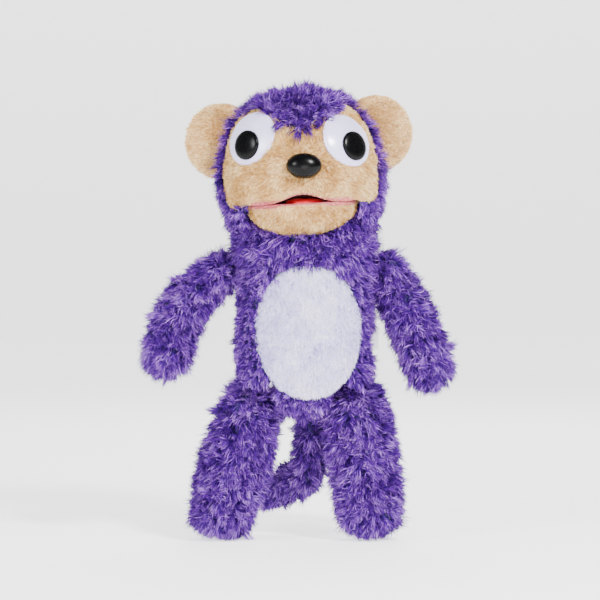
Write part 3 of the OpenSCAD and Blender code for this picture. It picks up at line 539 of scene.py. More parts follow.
def growPile(name, skins, body, look, comb, material, keep=None):
    # every lock is a tapered ribbon, and neighbours gather into tufts
    rng = np.random.default_rng(look["seed"])
    root, up = [np.concatenate(x) for x in zip(*[scattered(s, look["perMm"], rng) for s in skins])]
    if keep is not None:
        kept = keep(root)
        root, up = root[kept], up[kept]
    share, part = look["trim"](root) if look.get("trim") else (np.ones(len(root)), np.zeros((len(root), 3)))
    grown = share > shortestShare
    root, up, part, share = root[grown], up[grown], part[grown], share[grown]
    n = len(root)
    tufts = max(1, int(n / look["perTuft"]))
    centres = root[rng.choice(n, tufts, replace=False)]
    tree = kdtree.KDTree(tufts)
    for i, p in enumerate(centres):
        tree.insert(p, i)
    tree.balance()
    tuft = np.array([tree.find(p)[1] for p in root])
    tuftTurn = rng.normal(0, 1, (tufts, 3))
    tuftShade = rng.normal(0, 1, tufts)
    tuftLong = rng.normal(0, 1, tufts)
    tuftCurl = rng.normal(0, 1, (tufts, 3))

    lay = comb(root) + part
    lay = unitRows(lay - up * np.sum(lay * up, 1, keepdims=True))
    drift = latticeNoise(root, look["driftCell"], look["seed"])
    jitter = rng.normal(0, 1, (n, 3))
    turn = look["tuftTurn"] * tuftTurn[tuft] + look["turn"] * jitter + look["drift"] * drift
    turn -= 0.6 * up * np.sum(turn * up, 1, keepdims=True)
    start = unitRows(up * look["lift"] + lay * look["lay"] + turn)
    start = unitRows(start + up * np.maximum(0, 0.12 - np.sum(start * up, 1, keepdims=True)))
    longer = np.clip(1 + look["longVary"] * (0.6 * tuftLong[tuft] + 0.5 * rng.normal(0, 1, n)), 0.5, 1.25)
    size = look["long"] * (longer * share)[:, None]
    curl = look["curl"] * (0.8 * tuftCurl[tuft] + 0.5 * rng.normal(0, 1, (n, 3)))
    bend = lay * look["droop"] + curl

    heart = unitRows(up * look["lift"] + lay * look["lay"] + look["tuftTurn"] * tuftTurn[tuft])
    middle = centres[tuft] + heart * size
    steps = look["steps"]
    spine = []
    swing = unitRows(np.cross(start, rng.normal(0, 1, (n, 3)))) * look["crimp"]
    phase = rng.uniform(0, 2 * math.pi, (n, 1))
    for s in steps:
        p = root - up * 0.4 * mm + size * (start * s + bend * s * s * 0.5)
        p += swing * (np.sin(phase + look["waves"] * 2 * math.pi * s) - np.sin(phase)) * s ** 0.5
        p += (middle - (root + size * (start + bend * 0.5))) * look["gather"] * s * s
        below = np.minimum(0, np.sum((p - root) * up, 1, keepdims=True) - 0.3 * mm * s)
        spine.append(p - up * below * (s > 0))
    heading = unitRows(spine[-1] - spine[0])
    across = unitRows(np.cross(heading, up + 0.9 * rng.normal(0, 1, (n, 3))))
    wide = look["wide"] * (1 + 0.25 * rng.normal(0, 1, n).clip(-2, 2))[:, None] / 2

    rows, points = len(steps), []
    for i, s in enumerate(steps[:-1]):
        half = wide * look["taper"][i]
        points += [spine[i] - across * half, spine[i] + across * half]
    points.append(spine[-1])
    co = np.stack(points, 1)
    shade = np.clip(0.5 + look["tuftShade"] * tuftShade[tuft] + look["shade"] * rng.normal(0, 1, n)
                    + look["patchShade"] * latticeNoise(root, look["patchCell"], look["seed"] + 7)[:, 0]
                    + (look["tone"](root) if look.get("tone") else 0), 0.02, 0.98)

    trianglesEach = 2 * (rows - 2) + 1
    halves = math.ceil(n * trianglesEach / pileLimit)
    order = np.argsort(root[:, 0], kind="stable")
    made = []
    for h in range(halves):
        own = order[h * n // halves:(h + 1) * n // halves]
        label = name if halves == 1 else f"{name}_{h + 1}"
        made.append(ribbons(label, co[own], shade[own], steps))
        addPiece(label, made[-1], body, material)
    return [bpy.data.objects[m.name] for m in made]


def ribbons(name, co, shade, steps):
    n, per = co.shape[:2]
    corner, sides, along = [], [], []
    for i in range(len(steps) - 2):
        corner += [2 * i, 2 * i + 1, 2 * i + 3, 2 * i + 2]
        along += [steps[i], steps[i], steps[i + 1], steps[i + 1]]
        sides.append(4)
    corner += [per - 3, per - 2, per - 1]
    along += [steps[-2], steps[-2], steps[-1]]
    sides.append(3)
    loops = (np.arange(n)[:, None] * per + np.array(corner)).ravel()
    totals = np.tile(sides, n)
    mesh = bpy.data.meshes.new(name)
    mesh.vertices.add(n * per)
    mesh.vertices.foreach_set("co", co.astype(np.float32).ravel())
    mesh.loops.add(len(loops))
    mesh.loops.foreach_set("vertex_index", loops.astype(np.int32))
    mesh.polygons.add(len(totals))
    mesh.polygons.foreach_set("loop_start", np.concatenate([[0], np.cumsum(totals)[:-1]]).astype(np.int32))
    mesh.polygons.foreach_set("loop_total", totals.astype(np.int32))
    mesh.update(calc_edges=True)
    uv = mesh.uv_layers.new(name="OFBake")
    flat = np.stack([np.repeat(shade, len(corner)), np.clip(np.tile(along, n), 0.02, 0.98)], 1)
    uv.data.foreach_set("uv", flat.astype(np.float32).ravel())
    mesh.polygons.foreach_set("use_smooth", np.ones(len(totals), dtype=bool))
    return mesh


pileLimit = 190000  # triangles in one piece
shortestShare = 0.12  # a lock that is cut shorter than this share isn't grown

# perMm is locks in a square millimetre, perTuft is locks that gather, and steps are where a lock bends
longPile = {
    "perMm": 1.75, "perTuft": 20, "long": 10.4 * mm, "longVary": 0.2,
    "wide": 0.66 * mm, "taper": (0.7, 1.0, 0.95, 0.7), "steps": (0, 0.28, 0.54, 0.78, 1.0),
    "lift": 0.56, "lay": 0.34, "tuftTurn": 0.46, "turn": 0.2, "drift": 0.6, "driftCell": 13 * mm,
    "curl": 0.7, "droop": 0.55, "gather": 0.34, "crimp": 0.75 * mm, "waves": 1.2,
    "tuftShade": 0.17, "shade": 0.25, "patchShade": 0.14, "patchCell": 22 * mm,
}
shortPile = {
    "perMm": 1.5, "perTuft": 7, "long": 3.4 * mm, "longVary": 0.25,
    "wide": 0.7 * mm, "taper": (0.9, 0.8), "steps": (0, 0.5, 1.0),
    "lift": 0.45, "lay": 0.75, "tuftTurn": 0.16, "turn": 0.22, "drift": 0.25, "driftCell": 12 * mm,
    "curl": 0.12, "droop": 0.5, "gather": 0.25, "crimp": 0.1 * mm, "waves": 0.5,
    "tuftShade": 0.12, "shade": 0.14, "patchShade": 0.42, "patchCell": 11 * mm,
}


def trimmedTo(shareAt):
    # cuts each lock to a share of its length
    return lambda p: (shareAt(p), np.zeros((len(p), 3)))


def pileLike(base, **changes):
    return {**base, **changes}


def towards(direction):
    direction = np.array(direction, float)
    return lambda p: np.tile(direction, (len(p), 1))


def awayFrom(point, down=0.0):
    point = np.array(point, float)
    return lambda p: unitRows(p - point) + np.array([0, 0, -down])


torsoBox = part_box("torso_front_panel")
torsoTop = torsoBox[1].z
torsoMiddle = Vector(joints["neck_turn"]["pos_m"])
mouthFold = Vector(joints["jaw_open"]["pos_m"])
headLow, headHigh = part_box("head_cap")
headCentre = (headLow + headHigh) / 2


# torso and belly

torso = {
    "long": 10 * mm, "sideTrim": 0.3, "sideFrom": 35 * mm, "sideReach": 12 * mm,
    "borderTrim": 0.42, "borderReach": 14 * mm, "labelTrim": 0.8, "labelReach": 13 * mm,
    "fillBelow": 14 * mm, "fillAbove": 24 * mm, "fillReach": 20 * mm, "frontFrom": 20 * mm,
}
belly = {
    "squareness": 2.15, "crown": 2.0 * mm, "creaseDepth": 3.4 * mm, "creaseAt": 0.38,
    "creaseSlope": 3 * mm, "creaseWide": 4 * mm, "waves": 0.8 * mm, "turnIn": 7 * mm,
    "straightFrom": 18 * mm, "frontHalfWide": 45 * mm, "long": 3.6 * mm,
}


def torsoShare(points):
    # shorter pile down one side, around the white patch and under the care label
    low, high = [np.array(c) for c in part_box("belly_patch")]
    across, up = [np.abs(points[:, k] - (low + high)[k] / 2) / ((high - low)[k] / 2) for k in (0, 2)]
    power = belly["squareness"]
    gap = ((across ** power + up ** power) ** (1 / power) - 1) * 50 * mm
    border = torso["borderTrim"] * (1 - np.clip(gap / torso["borderReach"], 0, 1))
    border = np.where(points[:, 1] < torsoMiddle.y, border, 0)
    side = np.clip((-points[:, 0] - torso["sideFrom"]) / torso["sideReach"], 0, 1)
    label = np.array(sum(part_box("care_label"), Vector()) / 2)
    near = np.exp(-(np.linalg.norm(points - label, axis=1) / torso["labelReach"]) ** 2)
    return np.clip(1 - border - torso["sideTrim"] * side - torso["labelTrim"] * near, 0.15, 1)


def frontShape():
    # one smooth front, fitted to the foremost points of the belly patch and the cloth around it
    points = np.concatenate([arrays(nodes[n].data)[0] for n in ("belly_patch", "torso_front_panel")])
    low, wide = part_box("belly_patch")[0].z, belly["frontHalfWide"]
    points = points[(points[:, 2] > low + belly["straightFrom"]) & (np.abs(points[:, 0]) < wide)]
    kept = []
    for x in np.arange(-wide, wide, 5 * mm):
        for z in np.arange(low, points[:, 2].max(), 8 * mm):
            near = points[(np.abs(points[:, 0] - x) < 4 * mm) & (np.abs(points[:, 2] - z) < 6 * mm)]
            if len(near):
                kept.append(near[near[:, 1].argmin()])
    kept = np.array(kept)

    def terms(x, z):
        bow, rise = x * x * 1e2, z * 10
        return np.stack([np.ones_like(x), bow, bow ** 2, rise, rise ** 2, rise ** 3, x * x * z * 1e3], 1)

    fit = np.linalg.lstsq(terms(kept[:, 0], kept[:, 2]), kept[:, 1], rcond=None)[0]
    return lambda x, z: terms(x, z) @ fit


frontAt = frontShape()


def buildTorso():
    axis = fromAxis((0, torsoMiddle.y, torsoBox[0].z + 34 * mm), (0, torsoMiddle.y, torsoTop))
    panels = ("torso_front_panel", "torso_back_panel")
    base = outerSkin("torsoBacking", panels, axis)
    # the cloth under the belly patch's lower edge fills out to meet it
    points = arrays(base)[0]
    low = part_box("belly_patch")[0].z
    target = frontAt(points[:, 0], np.maximum(points[:, 2], low)) + 1 * mm
    share = np.clip((points[:, 2] - low + torso["fillBelow"]) / torso["fillReach"], 0, 1)
    share = share * (points[:, 2] < low + torso["fillAbove"])
    inFront = points[:, 1] < torsoMiddle.y - torso["frontFrom"]
    points[:, 1] += np.where(inFront, share * np.minimum(0, target - points[:, 1]), 0)
    base.vertices.foreach_set("co", points.ravel())
    base.update()
    addPiece("torsoBacking", base, "torso", purpleBacking, panels)
    look = pileLike(longPile, long=torso["long"], seed=11, trim=trimmedTo(torsoShare))
    growPile("torsoPile", [base], "torso", look, towards((0, 0, -1)), purplePile)


def buildBelly():
    low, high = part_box("belly_patch")
    middle, half = (low + high) / 2, (high - low) / 2
    around, rings, points, faces = 96, 28, [], []
    squared = lambda v: math.copysign(abs(v) ** (2 / belly["squareness"]), v)
    for i in range(rings + 2):
        r = (min(i, rings) + 0.01) / rings
        for k in range(around):
            t = 2 * math.pi * k / around
            points.append((middle.x + r * half.x * squared(math.cos(t)), 0,
                           middle.z + r * half.z * squared(math.sin(t))))
        for k in range(around if i else 0):
            a, b = (i - 1) * around, i * around
            j = (k + 1) % around
            faces.append((a + k, a + j, b + j, b + k))
    points = np.array(points)
    points[:, 1] = frontAt(points[:, 0], points[:, 2]) + 0.2 * mm
    creaseZ = low.z + belly["creaseAt"] * 2 * half.z

    def acrossAt(p):
        # -1 to 1 from one side of the patch to the other
        return (p[:, 0] - middle.x) / half.x

    def creaseAt(p):
        # 1 in the crease, which slopes up to one side
        return np.exp(-((p[:, 2] - creaseZ - belly["creaseSlope"] * acrossAt(p)) / belly["creaseWide"]) ** 2)

    def bellyPaintedShade(p):
        # painted shade along the crease and down the sides
        inCrease = creaseAt(p) * (np.abs(acrossAt(p)) < 0.6)
        return 0.16 - 0.16 * inCrease - 0.34 * (acrossAt(p) - 0.15) ** 2

    a, b = acrossAt(points), (points[:, 2] - middle.z) / half.z
    crown = np.maximum(0, 1 - a * a) * np.maximum(0, 1 - b * b)
    dip = creaseAt(points) * np.maximum(0, 1 - 1.4 * np.abs(a))
    waves = latticeNoise(points, 16 * mm, 5)[:, 0] * belly["waves"] * np.maximum(0, 1 - a * a - b * b)
    points[:, 1] -= belly["crown"] * crown - belly["creaseDepth"] * dip + waves
    points[-around:, 1] += belly["turnIn"]
    base = meshFrom("bellyBacking", points, faces)
    made = bmesh.new()
    made.from_mesh(base)
    bmesh.ops.holes_fill(made, edges=[e for e in made.edges if e.is_boundary and (
        (e.verts[0].co.x - middle.x) ** 2 + (e.verts[0].co.z - middle.z) ** 2) < 1e-5], sides=around)
    bmesh.ops.recalc_face_normals(made, faces=made.faces)
    if sum(f.normal.y for f in made.faces) > 0:
        bmesh.ops.reverse_faces(made, faces=made.faces)
    made.to_mesh(base)
    made.free()
    smoothed(base)
    addPiece("bellyBacking", base, "torso", whiteBacking, ("belly_patch",))
    look = pileLike(shortPile, seed=21, long=belly["long"], perMm=1.8, lift=0.55, turn=0.3,
                    patchShade=0.3, tone=bellyPaintedShade)
    growPile("bellyPile", [base], "torso", look, towards((0, 0, -1)), whitePile,
             lambda p: p[:, 1] < frontAt(p[:, 0], p[:, 2]) + 1.5 * mm)


buildTorso()
buildBelly()


# neck and throat

crown = Vector((headCentre.x, mouthFold.y + 12 * mm, headHigh.z))
jowl = {"below": 8 * mm, "tall": 22 * mm, "outFrom": 30 * mm, "trim": 0.34, "tuftWide": 16 * mm, "tuft": 0.12}


def jowlShare(points):
    # the pile is shorter beside the mouth and longer on the crown
    beside = np.exp(-((points[:, 2] - mouthFold.z + jowl["below"]) / jowl["tall"]) ** 2)
    beside = beside * (np.abs(points[:, 0]) > jowl["outFrom"])
    top = np.exp(-(np.linalg.norm(points - np.array(crown), axis=1) / jowl["tuftWide"]) ** 2)
    return 1 - jowl["trim"] * beside + jowl["tuft"] * top


def buildNeck():
    axis = fromAxis((0, torsoMiddle.y, torsoTop), (0, torsoMiddle.y, torsoTop + 0.04))
    look = pileLike(longPile, trim=trimmedTo(jowlShare))
    for name, node in (("nape", "neck_panel"), ("throat", "throat_panel")):
        base = outerSkin(name + "Backing", [node], axis)
        body = None if name == "nape" else "neck"
        cloth = addPiece(name + "Backing", base, body, purpleBacking, (node,))
        pile = growPile(name + "Pile", [base], body, pileLike(look, seed=31 + len(name)),
                        towards((0, 0, -1)), purplePile)
        for piece in [cloth] + pile:
            if name == "nape":
                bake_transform(piece)
            else:
                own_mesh(piece)


buildNeck()
print("torso and neck ready")


# lips

def frontEdge(node, count=31):
    # the lip line: the foremost point of a sheet at each place across it
    points = arrays(nodes[node].data)[0]
    low, high = points[:, 0].min() + 0.5 * mm, points[:, 0].max() - 0.5 * mm
    line = []
    for x in np.linspace(low, high, count):
        near = points[np.abs(points[:, 0] - x) < (high - low) / count * 1.2]
        if len(near):
            front = near[near[:, 1] < near[:, 1].min() + 1.5 * mm]
            line.append((x, front[:, 1].mean(), front[:, 2].mean()))
    line = np.array(line)
    for _ in range(3):
        line[1:-1] = (line[:-2] + 2 * line[1:-1] + line[2:]) / 4
    return line


def trimAlong(line, reach, least):
    # locks get shorter towards a line, and lie away from it
    def trim(points):
        gaps = points[:, None, :] - line[None, :, :]
        far = np.linalg.norm(gaps, axis=2)
        near = np.argmin(far, axis=1)
        rows = np.arange(len(points))
        far, away = far[rows, near], unitRows(gaps[rows, near])
        share = np.clip((far - 0.7 * mm) / reach, 0, 1)
        grown = np.where(far < 0.9 * mm, 0, least + (1 - least) * share)
        return grown, away * (1.6 * (1 - share))[:, None]
    return trim


upperLine, lowerLine = frontEdge("upper_palate"), frontEdge("lower_palate")


# head and face

head = {"long": 10 * mm}
face = {"long": 3.6 * mm, "browUp": 24 * mm, "browReach": 26 * mm, "peak": (-1 * mm, 177.2 * mm),
        "peakCurve": 17, "peakReach": 33 * mm, "peakLong": 5.6 * mm}
ear = {
    "radius": 34 * mm, "long": 2.6 * mm, "stuffingFront": -3.5 * mm,
    "rim": 4.0 * mm, "rimAt": 0.84, "rimWide": 0.14,
    "hollow": 6.5 * mm, "hollowAt": 8 * mm, "hollowWide": 0.52, "darkestAt": 16 * mm,
}

headAxis = fromAxis((0, mouthFold.y + 6 * mm, mouthFold.z + 10 * mm),
                    (-3 * mm, mouthFold.y + 6 * mm, mouthFold.z + 52 * mm))


def buildHead():
    base = outerSkin("headBacking", ["head_cap"], headAxis)
    cloth = addPiece("headBacking", base, "head", purpleBacking, ("head_cap",))
    look = pileLike(longPile, seed=41, long=head["long"], trim=trimmedTo(jowlShare))
    growPile("headPile", [base], "head", look, awayFrom(crown, 0.5), purplePile)


def inPeak(points):
    # the purple peak that comes down between the eyes
    across = points[:, 0] - face["peak"][0]
    above = points[:, 2] > face["peak"][1] + face["peakCurve"] * across ** 2
    return above & (np.abs(across) < face["peakReach"])


def buildFace():
    base = outerSkin("faceBacking", ["face_panel"], headAxis, 2)
    cloth = addPiece("faceBacking", base, "head", creamBacking, ("face_panel",))
    nose = discFrame("nose_washer")[0]
    brow = np.array(nose) + (0, 0, face["browUp"])

    def faceTone(p):
        # darker on the brow, between the eyes
        return 0.14 - 0.3 * np.exp(-(np.linalg.norm(p - brow, axis=1) / face["browReach"]) ** 2)

    look = pileLike(shortPile, seed=51, long=face["long"], trim=trimAlong(upperLine, 9 * mm, 0.3),
                    tone=faceTone)
    growPile("facePile", [base], "head", look, awayFrom(nose, 0.35), creamPile,
             lambda p: ~inPeak(p))
    growPile("peakPile", [base], "head", pileLike(longPile, seed=52, long=face["peakLong"], perMm=3),
             towards((0, 0, -1)), purplePile, inPeak)


def buildEars():
    # the front is a cup with a full rim, and the stuffing lies behind it
    for side in ("left", "right"):
        middle, axis = discFrame(f"ear_{side}_wadding")
        middle, axis = np.array(middle), np.array(axis)
        inwards = np.array((-1.0 if side == "left" else 1.0, 0, 0))

        def cupped(points):
            flat = points - middle
            flat -= axis * (flat @ axis)[:, None]
            far = np.linalg.norm(flat, axis=1) / ear["radius"]
            deep = np.linalg.norm(flat - inwards * ear["hollowAt"], axis=1) / ear["radius"]
            rise = ear["rim"] * np.exp(-((far - ear["rimAt"]) / ear["rimWide"]) ** 2)
            rise -= ear["hollow"] * np.exp(-(deep / ear["hollowWide"]) ** 2)
            return points + axis * rise[:, None]

        def earPaintedShadeAndRimLight(p):
            # painted shade where the ear meets the head, and painted light out to its rim
            far = np.linalg.norm(p - middle - inwards * ear["darkestAt"], axis=1)
            return 0.8 * np.clip(far / ear["radius"], 0, 1.3) - 0.5

        for way, sign in (("front", 1), ("back", -1)):
            node = f"ear_{side}_{way}"
            base = outerSkin(node + "_cloth", [node], lambda c, n: float(np.dot(n, axis * sign)), 1)
            if way == "front":
                base.vertices.foreach_set("co", cupped(arrays(base)[0]).ravel())
                base.update()
            addPiece(node + "_cloth", base, "head", creamBacking, (node,))
            look = pileLike(shortPile, seed=60 + len(node) + (side == "left"), perMm=1.6,
                            long=ear["long"], patchShade=0.2, tone=earPaintedShadeAndRimLight)
            growPile(node + "_pile", [base], "head", look,
                     awayFrom((headCentre.x, middle[1], middle[2] - 10 * mm)), creamPile)
        stuffing = nodes[f"ear_{side}_wadding"].data.copy()
        points = arrays(stuffing)[0]
        height = (points - middle) @ axis
        points += axis * (np.minimum(height, ear["stuffingFront"]) - height)[:, None]
        stuffing.vertices.foreach_set("co", points.ravel())
        addPiece(f"earStuffing_{side}", stuffing, "head", fillingFibre,
                 (f"ear_{side}_wadding",))


buildHead()
buildFace()
buildEars()
print("head and ears ready")


# eyes and nose

eye = {"radius": 24.5, "domeRadius": 52, "top": 4.6, "backRadius": 90, "lip": 1.5, "washerDepth": 8.5,
       "pupilRadius": 13, "pupilHeight": 3.1, "pupilTurn": 10.5}
nose = {"wide": 29.5, "high": 23, "out": 13, "washerDepth": 8.5}


def lathe(name, profile, around, origin, axis, shape=None):
    # profile is [radius, height] in mm from the middle of the front outwards
    z = Vector(axis).normalized()
    x = Vector((0, 0, 1)).cross(z).normalized()
    y = z.cross(x)
    points, faces = [], []
    for r, h in profile:
        for k in range(around):
            a = 2 * math.pi * k / around
            u, v = math.cos(a) * r, math.sin(a) * r
            if shape:
                u, v = shape(u, v)
            points.append(origin + (x * u + y * v + z * h) * mm)
    for i in range(len(profile) - 1):
        for k in range(around):
            j = (k + 1) % around
            faces.append((i * around + k, (i + 1) * around + k, (i + 1) * around + j, i * around + j))
    mesh = meshFrom(name, points, faces)
    made = bmesh.new()
    made.from_mesh(mesh)
    bmesh.ops.remove_doubles(made, verts=made.verts, dist=0.005 * mm)
    bmesh.ops.holes_fill(made, edges=made.edges, sides=around + 1)
    bmesh.ops.recalc_face_normals(made, faces=made.faces)
    made.to_mesh(mesh)
    made.free()
    return smoothed(mesh)


def domeHeight(r, radius, top):
    # height of a ball of this radius, r out from its top
    return top - (radius - math.sqrt(radius * radius - r * r))


def buildEyes():
    # a shallow dome with a narrow stepped lip, a hollow back and a stem for the washer
    outer, inner = eye["radius"], eye["radius"] - eye["lip"]
    profile = [(0.001, eye["top"])]
    profile += [(r, domeHeight(r, eye["domeRadius"], eye["top"])) for r in np.linspace(1.5, inner - 0.5, 14)]
    edge = domeHeight(inner, eye["domeRadius"], eye["top"])
    profile += [(inner - 0.1, edge - 0.05), (inner + 0.15, edge - 0.35), (inner + 0.5, edge - 0.4)]
    profile += [(outer - 0.5, edge - 0.5), (outer - 0.1, edge - 0.85), (outer, edge - 1.4),
                (outer - 0.1, edge - 2.2), (outer - 0.6, edge - 2.6)]
    profile += [(r, domeHeight(r, eye["backRadius"], 0)) for r in (20, 12, 3.4)]
    profile += [(3.0, -0.5), (3.0, -12.4), (2.6, -13), (0.001, -13)]
    size, tall = eye["pupilRadius"], eye["pupilHeight"]
    dome = [(0.001, tall)]
    dome += [(size * math.sin(a), -0.3 + (tall + 0.3) * math.cos(a)) for a in np.linspace(0.12, 1.48, 12)]
    dome += [(size, -0.6), (size - 0.1, -2.0), (0.001, -2.0)]
    for side in ("left", "right"):
        middle, axis = discFrame(f"eye_washer_{side}")
        back = middle + axis * eye["washerDepth"] * mm
        addPiece(f"eyeDisc_{side}", lathe(f"eyeDisc_{side}", profile, 96, back, axis), "head", whiteAbs,
                 (f"eye_{side}",))
        low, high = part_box(f"pupil_{side}")
        offset = (low + high) / 2 - back
        offset -= axis * offset.dot(axis)
        turned = Matrix.Rotation(math.radians(eye["pupilTurn"]), 3, axis.cross(offset).normalized()) @ axis
        seat = back + offset + axis * domeHeight(offset.length / mm, eye["domeRadius"], eye["top"]) * mm
        addPiece(f"pupilDome_{side}", lathe(f"pupilDome_{side}", dome, 64, seat, turned), "head", blackAbs,
                 (f"pupil_{side}",))
        cover(nodes[f"eye_washer_{side}"].data, nylonWasher)


def buildNose():
    middle, axis = discFrame("nose_washer")
    base = middle + axis * nose["washerDepth"] * mm

    def triangle(u, v):
        # wide on top and narrow below, with full corners
        r = math.hypot(u, v)
        if r < 1e-6:
            return u, v
        a = math.atan2(v, u)
        full = 1 + 0.04 * math.cos(2 * a) - 0.07 * math.sin(3 * a)
        return (u * nose["wide"] / 2 * full * (1 + 0.32 * math.sin(a)), v * nose["high"] / 2 * full)

    profile = [(0.001, nose["out"])]
    profile += [(math.sin(a) ** 0.86, nose["out"] * (0.12 + 0.88 * math.cos(a) ** 0.9))
                for a in np.linspace(0.1, 1.5, 16)]
    profile += [(1.0, 0.9), (0.96, -0.2), (0.86, -0.9), (0.2, -1.0), (0.2, -13), (0.001, -13)]
    addPiece("noseButton", lathe("noseButton", profile, 72, base, axis, triangle), "head", blackAbs,
             ("nose",))
    cover(nodes["nose_washer"].data, nylonWasher)


buildEyes()
buildNose()
print("eyes and nose ready")


# jaw and mouth

mouth = {"lipRadius": 1.6 * mm, "lipOut": 1.3 * mm, "lipPile": 2.2 * mm, "tongueRise": 1.6 * mm,
         "beardBehind": 27 * mm, "beardSlope": 0.35}


def tube(name, path, radius, sides=10):
    # a cord along a path, thinner at its two ends
    path = np.array(path)
    along = unitRows(np.gradient(path, axis=0))
    side = unitRows(np.cross(along, (0, 0, 1.0)))
    over = np.cross(side, along)
    points, faces = [], []
    for i in range(len(path)):
        size = radius * min(1.0, 0.35 + 0.65 * min(i, len(path) - 1 - i) / 2)
        for k in range(sides):
            a = 2 * math.pi * k / sides
            points.append(path[i] + size * (math.cos(a) * side[i] + math.sin(a) * over[i]))
    for i in range(len(path) - 1):
        for k in range(sides):
            j = (k + 1) % sides
            faces.append((i * sides + k, i * sides + j, (i + 1) * sides + j, (i + 1) * sides + k))
    faces += [tuple(range(sides))[::-1], tuple(range((len(path) - 1) * sides, len(path) * sides))]
    return meshFrom(name, points, faces)


def buildJaw():
    front = arrays(nodes["chin_panel"].data)[0][:, 1].min()
    middle = np.array((mouthFold.x, (mouthFold.y + front) / 2, mouthFold.z - 4 * mm))
    axis = fromAxis(middle + (-20 * mm, 6 * mm, 0), middle + (20 * mm, 6 * mm, 0))
    base = outerSkin("chinBacking", ["chin_panel"], axis, 2)
    addPiece("chinBacking", base, "jaw", creamBacking, ("chin_panel",))

    def onChin(p):
        # cream in front of a slanting border, purple behind it
        border = mouthFold.y - mouth["beardBehind"] - mouth["beardSlope"] * (p[:, 2] - middle[2])
        return p[:, 1] < border

    growPile("chinPile", [base], "jaw", pileLike(shortPile, seed=71, trim=trimAlong(lowerLine, 7 * mm, 0.3)),
             awayFrom((middle[0], front, mouthFold.z), 0.6), creamPile, onChin)
    growPile("beardPile", [base], "jaw", pileLike(longPile, seed=72, long=10 * mm),
             towards((0, -0.25, -1)), purplePile, lambda p: ~onChin(p))


def buildMouth():
    # the palates and the fold get the red velour darkened as painted shade
    for node in ("upper_palate", "lower_palate", "mouth_fold"):
        cover(nodes[node].data, shadedMouthVelour)
    look = pileLike(shortPile, seed=75, long=mouth["lipPile"], perMm=3, wide=0.45 * mm)
    for name, edge, body, up in (("upperLip", upperLine, "head", 0.6), ("lowerLip", lowerLine, "jaw", -0.6)):
        line = edge - (0, mouth["lipOut"], 0)
        cord = tube(name, line, mouth["lipRadius"])
        addPiece(name, cord, body, pinkBinding)
        behind = line[:, 1].max() + 1 * mm
        growPile(name + "Edge", [cord], body, look, towards((0, -0.5, up)), pinkPile,
                 lambda p: p[:, 1] < behind)


def buildTongue():
    low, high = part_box("tongue")
    centre, half = (low + high) / 2, (high - low) / 2
    tall, rows, around, points, faces = high.z - low.z, 12, 40, [], []
    for i in range(rows + 1):
        a = (i + 0.02) / rows * math.pi / 2
        for k in range(around):
            t = 2 * math.pi * k / around
            x, y = math.sin(a) * math.cos(t), math.sin(a) * math.sin(t)
            rise = max(0.0, math.cos(a))
            groove = 0.16 * math.exp(-(x / 0.18) ** 2) * max(0, 1 - abs(y)) * rise
            height = tall * (rise ** 0.7 * 0.96 - groove) + mouth["tongueRise"] * rise ** 0.4
            points.append((centre.x + x * half.x, centre.y + y * half.y, low.z + height))
    for i in range(rows):
        for k in range(around):
            j = (k + 1) % around
            faces.append((i * around + k, (i + 1) * around + k, (i + 1) * around + j, i * around + j))
    faces += [tuple(range(around)), tuple(range(rows * around, (rows + 1) * around))[::-1]]
    mesh = meshFrom("tongueCloth", points, faces)
    addPiece("tongueCloth", mesh, "jaw", tongueVelour, ("tongue",))


buildJaw()
buildMouth()
buildTongue()
print("jaw ready")


# arms, legs and tail

limbCloth = 2.6 * mm  # from the filling out to the cloth's outer face
limbs = {  # each is also its body's name, and swell, still and pile are in mm
    "arm_left": {"joint": "shoulder_left_raise", "swell": 3.5, "still": 16, "pile": 10, "seed": 81},
    "arm_right": {"joint": "shoulder_right_raise", "swell": 3.5, "still": 16, "pile": 10, "seed": 82},
    "leg_left": {"joint": "hip_left_swing", "swell": 4, "still": 26, "pile": 10, "seed": 83},
    "leg_right": {"joint": "hip_right_swing", "swell": 4, "still": 26, "pile": 10, "seed": 84},
    "tail": {"joint": "tail_wag", "swell": 2.5, "still": 14, "pile": 9, "seed": 85},
}


def buildLimb(name, limb):
    pivot = np.array(joints[limb["joint"]]["pos_m"])
    shell = closedShell(name + "_backing", name + "_filling", limbCloth)
    base = stuffed(shell, limb["swell"] * mm, lambda p: np.linalg.norm(p - pivot) < limb["still"] * mm)
    cloth = addPiece(name + "_backing", base, name, purpleBacking, (name + "_skin",))
    low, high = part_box(name + "_skin")
    end = np.array([low.x + high.x - pivot[0], pivot[1], low.z])
    comb = awayFrom(pivot) if name == "tail" else towards(end - pivot)
    look = pileLike(longPile, seed=limb["seed"], long=limb["pile"] * mm)
    growPile(name + "_pile", [base], name, look, comb, purplePile)


def buildSoles():
    for side in ("left", "right"):
        node = f"leg_{side}_sole"
        cover(nodes[node].data, purpleBacking)
        base = outerSkin(f"sole_{side}", [node], lambda c, n: -float(n[2]), 0)
        look = pileLike(longPile, seed=90 + len(side), long=3.5 * mm, perMm=0.9, lift=0.5, lay=0.8)
        growPile(f"sole_{side}_pile", [base], f"leg_{side}", look,
                 awayFrom(sum(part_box(node), Vector()) / 2), purplePile)
        bpy.data.meshes.remove(base)


for name, limb in limbs.items():
    buildLimb(name, limb)
buildSoles()
print("limbs ready")


# sleeve, label and inner pieces

sleeve = {"pleats": 46, "pleatDepth": 0.0096, "length": 22, "radius": 38}


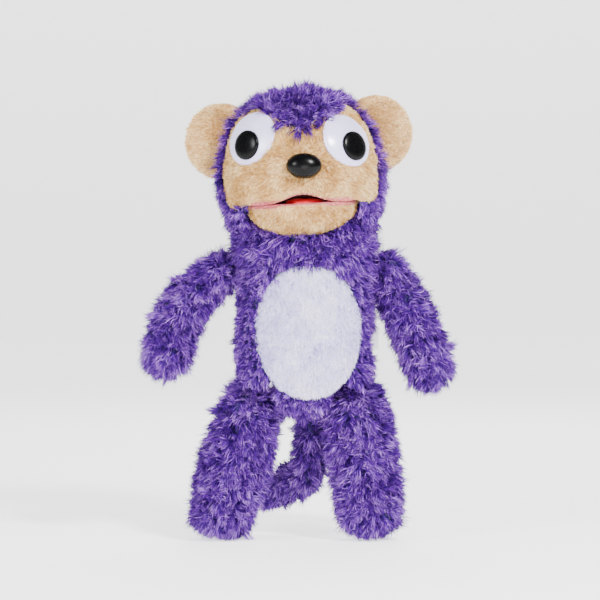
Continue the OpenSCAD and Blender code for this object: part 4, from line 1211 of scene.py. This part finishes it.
def buildCuff():
    mount = frame["record"]["mounts"][0]
    origin, axis = Vector(mount["pos_m"]), Vector(mount["axis"])
    r, long = sleeve["radius"], sleeve["length"]
    # a rolled mouth, a stitched groove below it and a straight band
    outline = [(r + 0.3, -long + 0.4), (r + 0.2, -long * 0.5), (r + 0.4, -1.6), (r + 0.9, -0.5),
               (r + 1.5, -0.15), (r + 2.2, -0.5), (r + 2.7, -1.6), (r + 2.8, -5.0), (r + 2.3, -6.2),
               (r + 2.8, -7.4), (r + 2.8, -long * 0.7), (r + 2.4, -long + 0.4), (r + 0.3, -long + 0.4)]

    def pleat(u, v):
        wave = 1 + sleeve["pleatDepth"] * math.sin(sleeve["pleats"] * math.atan2(v, u))
        return u * wave, v * wave

    mesh = lathe("cuffElastic", outline, 276, origin, axis, pleat)
    addPiece("cuffElastic", mesh, "torso", elasticRib, ("sleeve_cuff",))


def buildLabel():
    # a folded loop of satin tape, sewn into the side seam
    low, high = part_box("care_label")
    long, tall = high.x - low.x, high.z - low.z
    across, up, sewnIn, points, faces = 22, 12, 4 * mm, [], []
    for i in range(across + 1):
        s = i / across
        x = low.x - sewnIn + (long + sewnIn) * math.sin(math.pi * s)
        gap = 0.35 * mm + 0.5 * mm * math.sin(math.pi * s) ** 4
        y = (low.y + high.y) / 2 + (gap if s < 0.5 else -gap) * (1 if abs(s - 0.5) > 0.02 else 0)
        for k in range(up + 1):
            v = k / up
            curl = 1.2 * mm * math.sin(2.2 * v + 3 * s) * math.sin(math.pi * s)
            points.append((x, y + curl, low.z + tall * v))
    for i in range(across):
        for k in range(up):
            a = i * (up + 1) + k
            faces.append((a, a + 1, a + up + 2, a + up + 1))
    mesh = meshFrom("labelTape", points, faces)
    label = addPiece("labelTape", mesh, "torso", labelSatin, ("care_label",))


buildCuff()
buildLabel()

# what the pieces inside are made of, by a word in their names
insideOf = {
    "filling": fillingFibre, "padding": fillingFibre, "wadding": fillingFibre, "_lining": liningCloth,
    "_pocket": liningCloth, "board": pressedBoard, "gather": purpleBacking,
}
for nodeName, node in nodes.items():
    for word, material in insideOf.items():
        if word in nodeName:
            cover(node.data, material)

print("inner pieces ready")
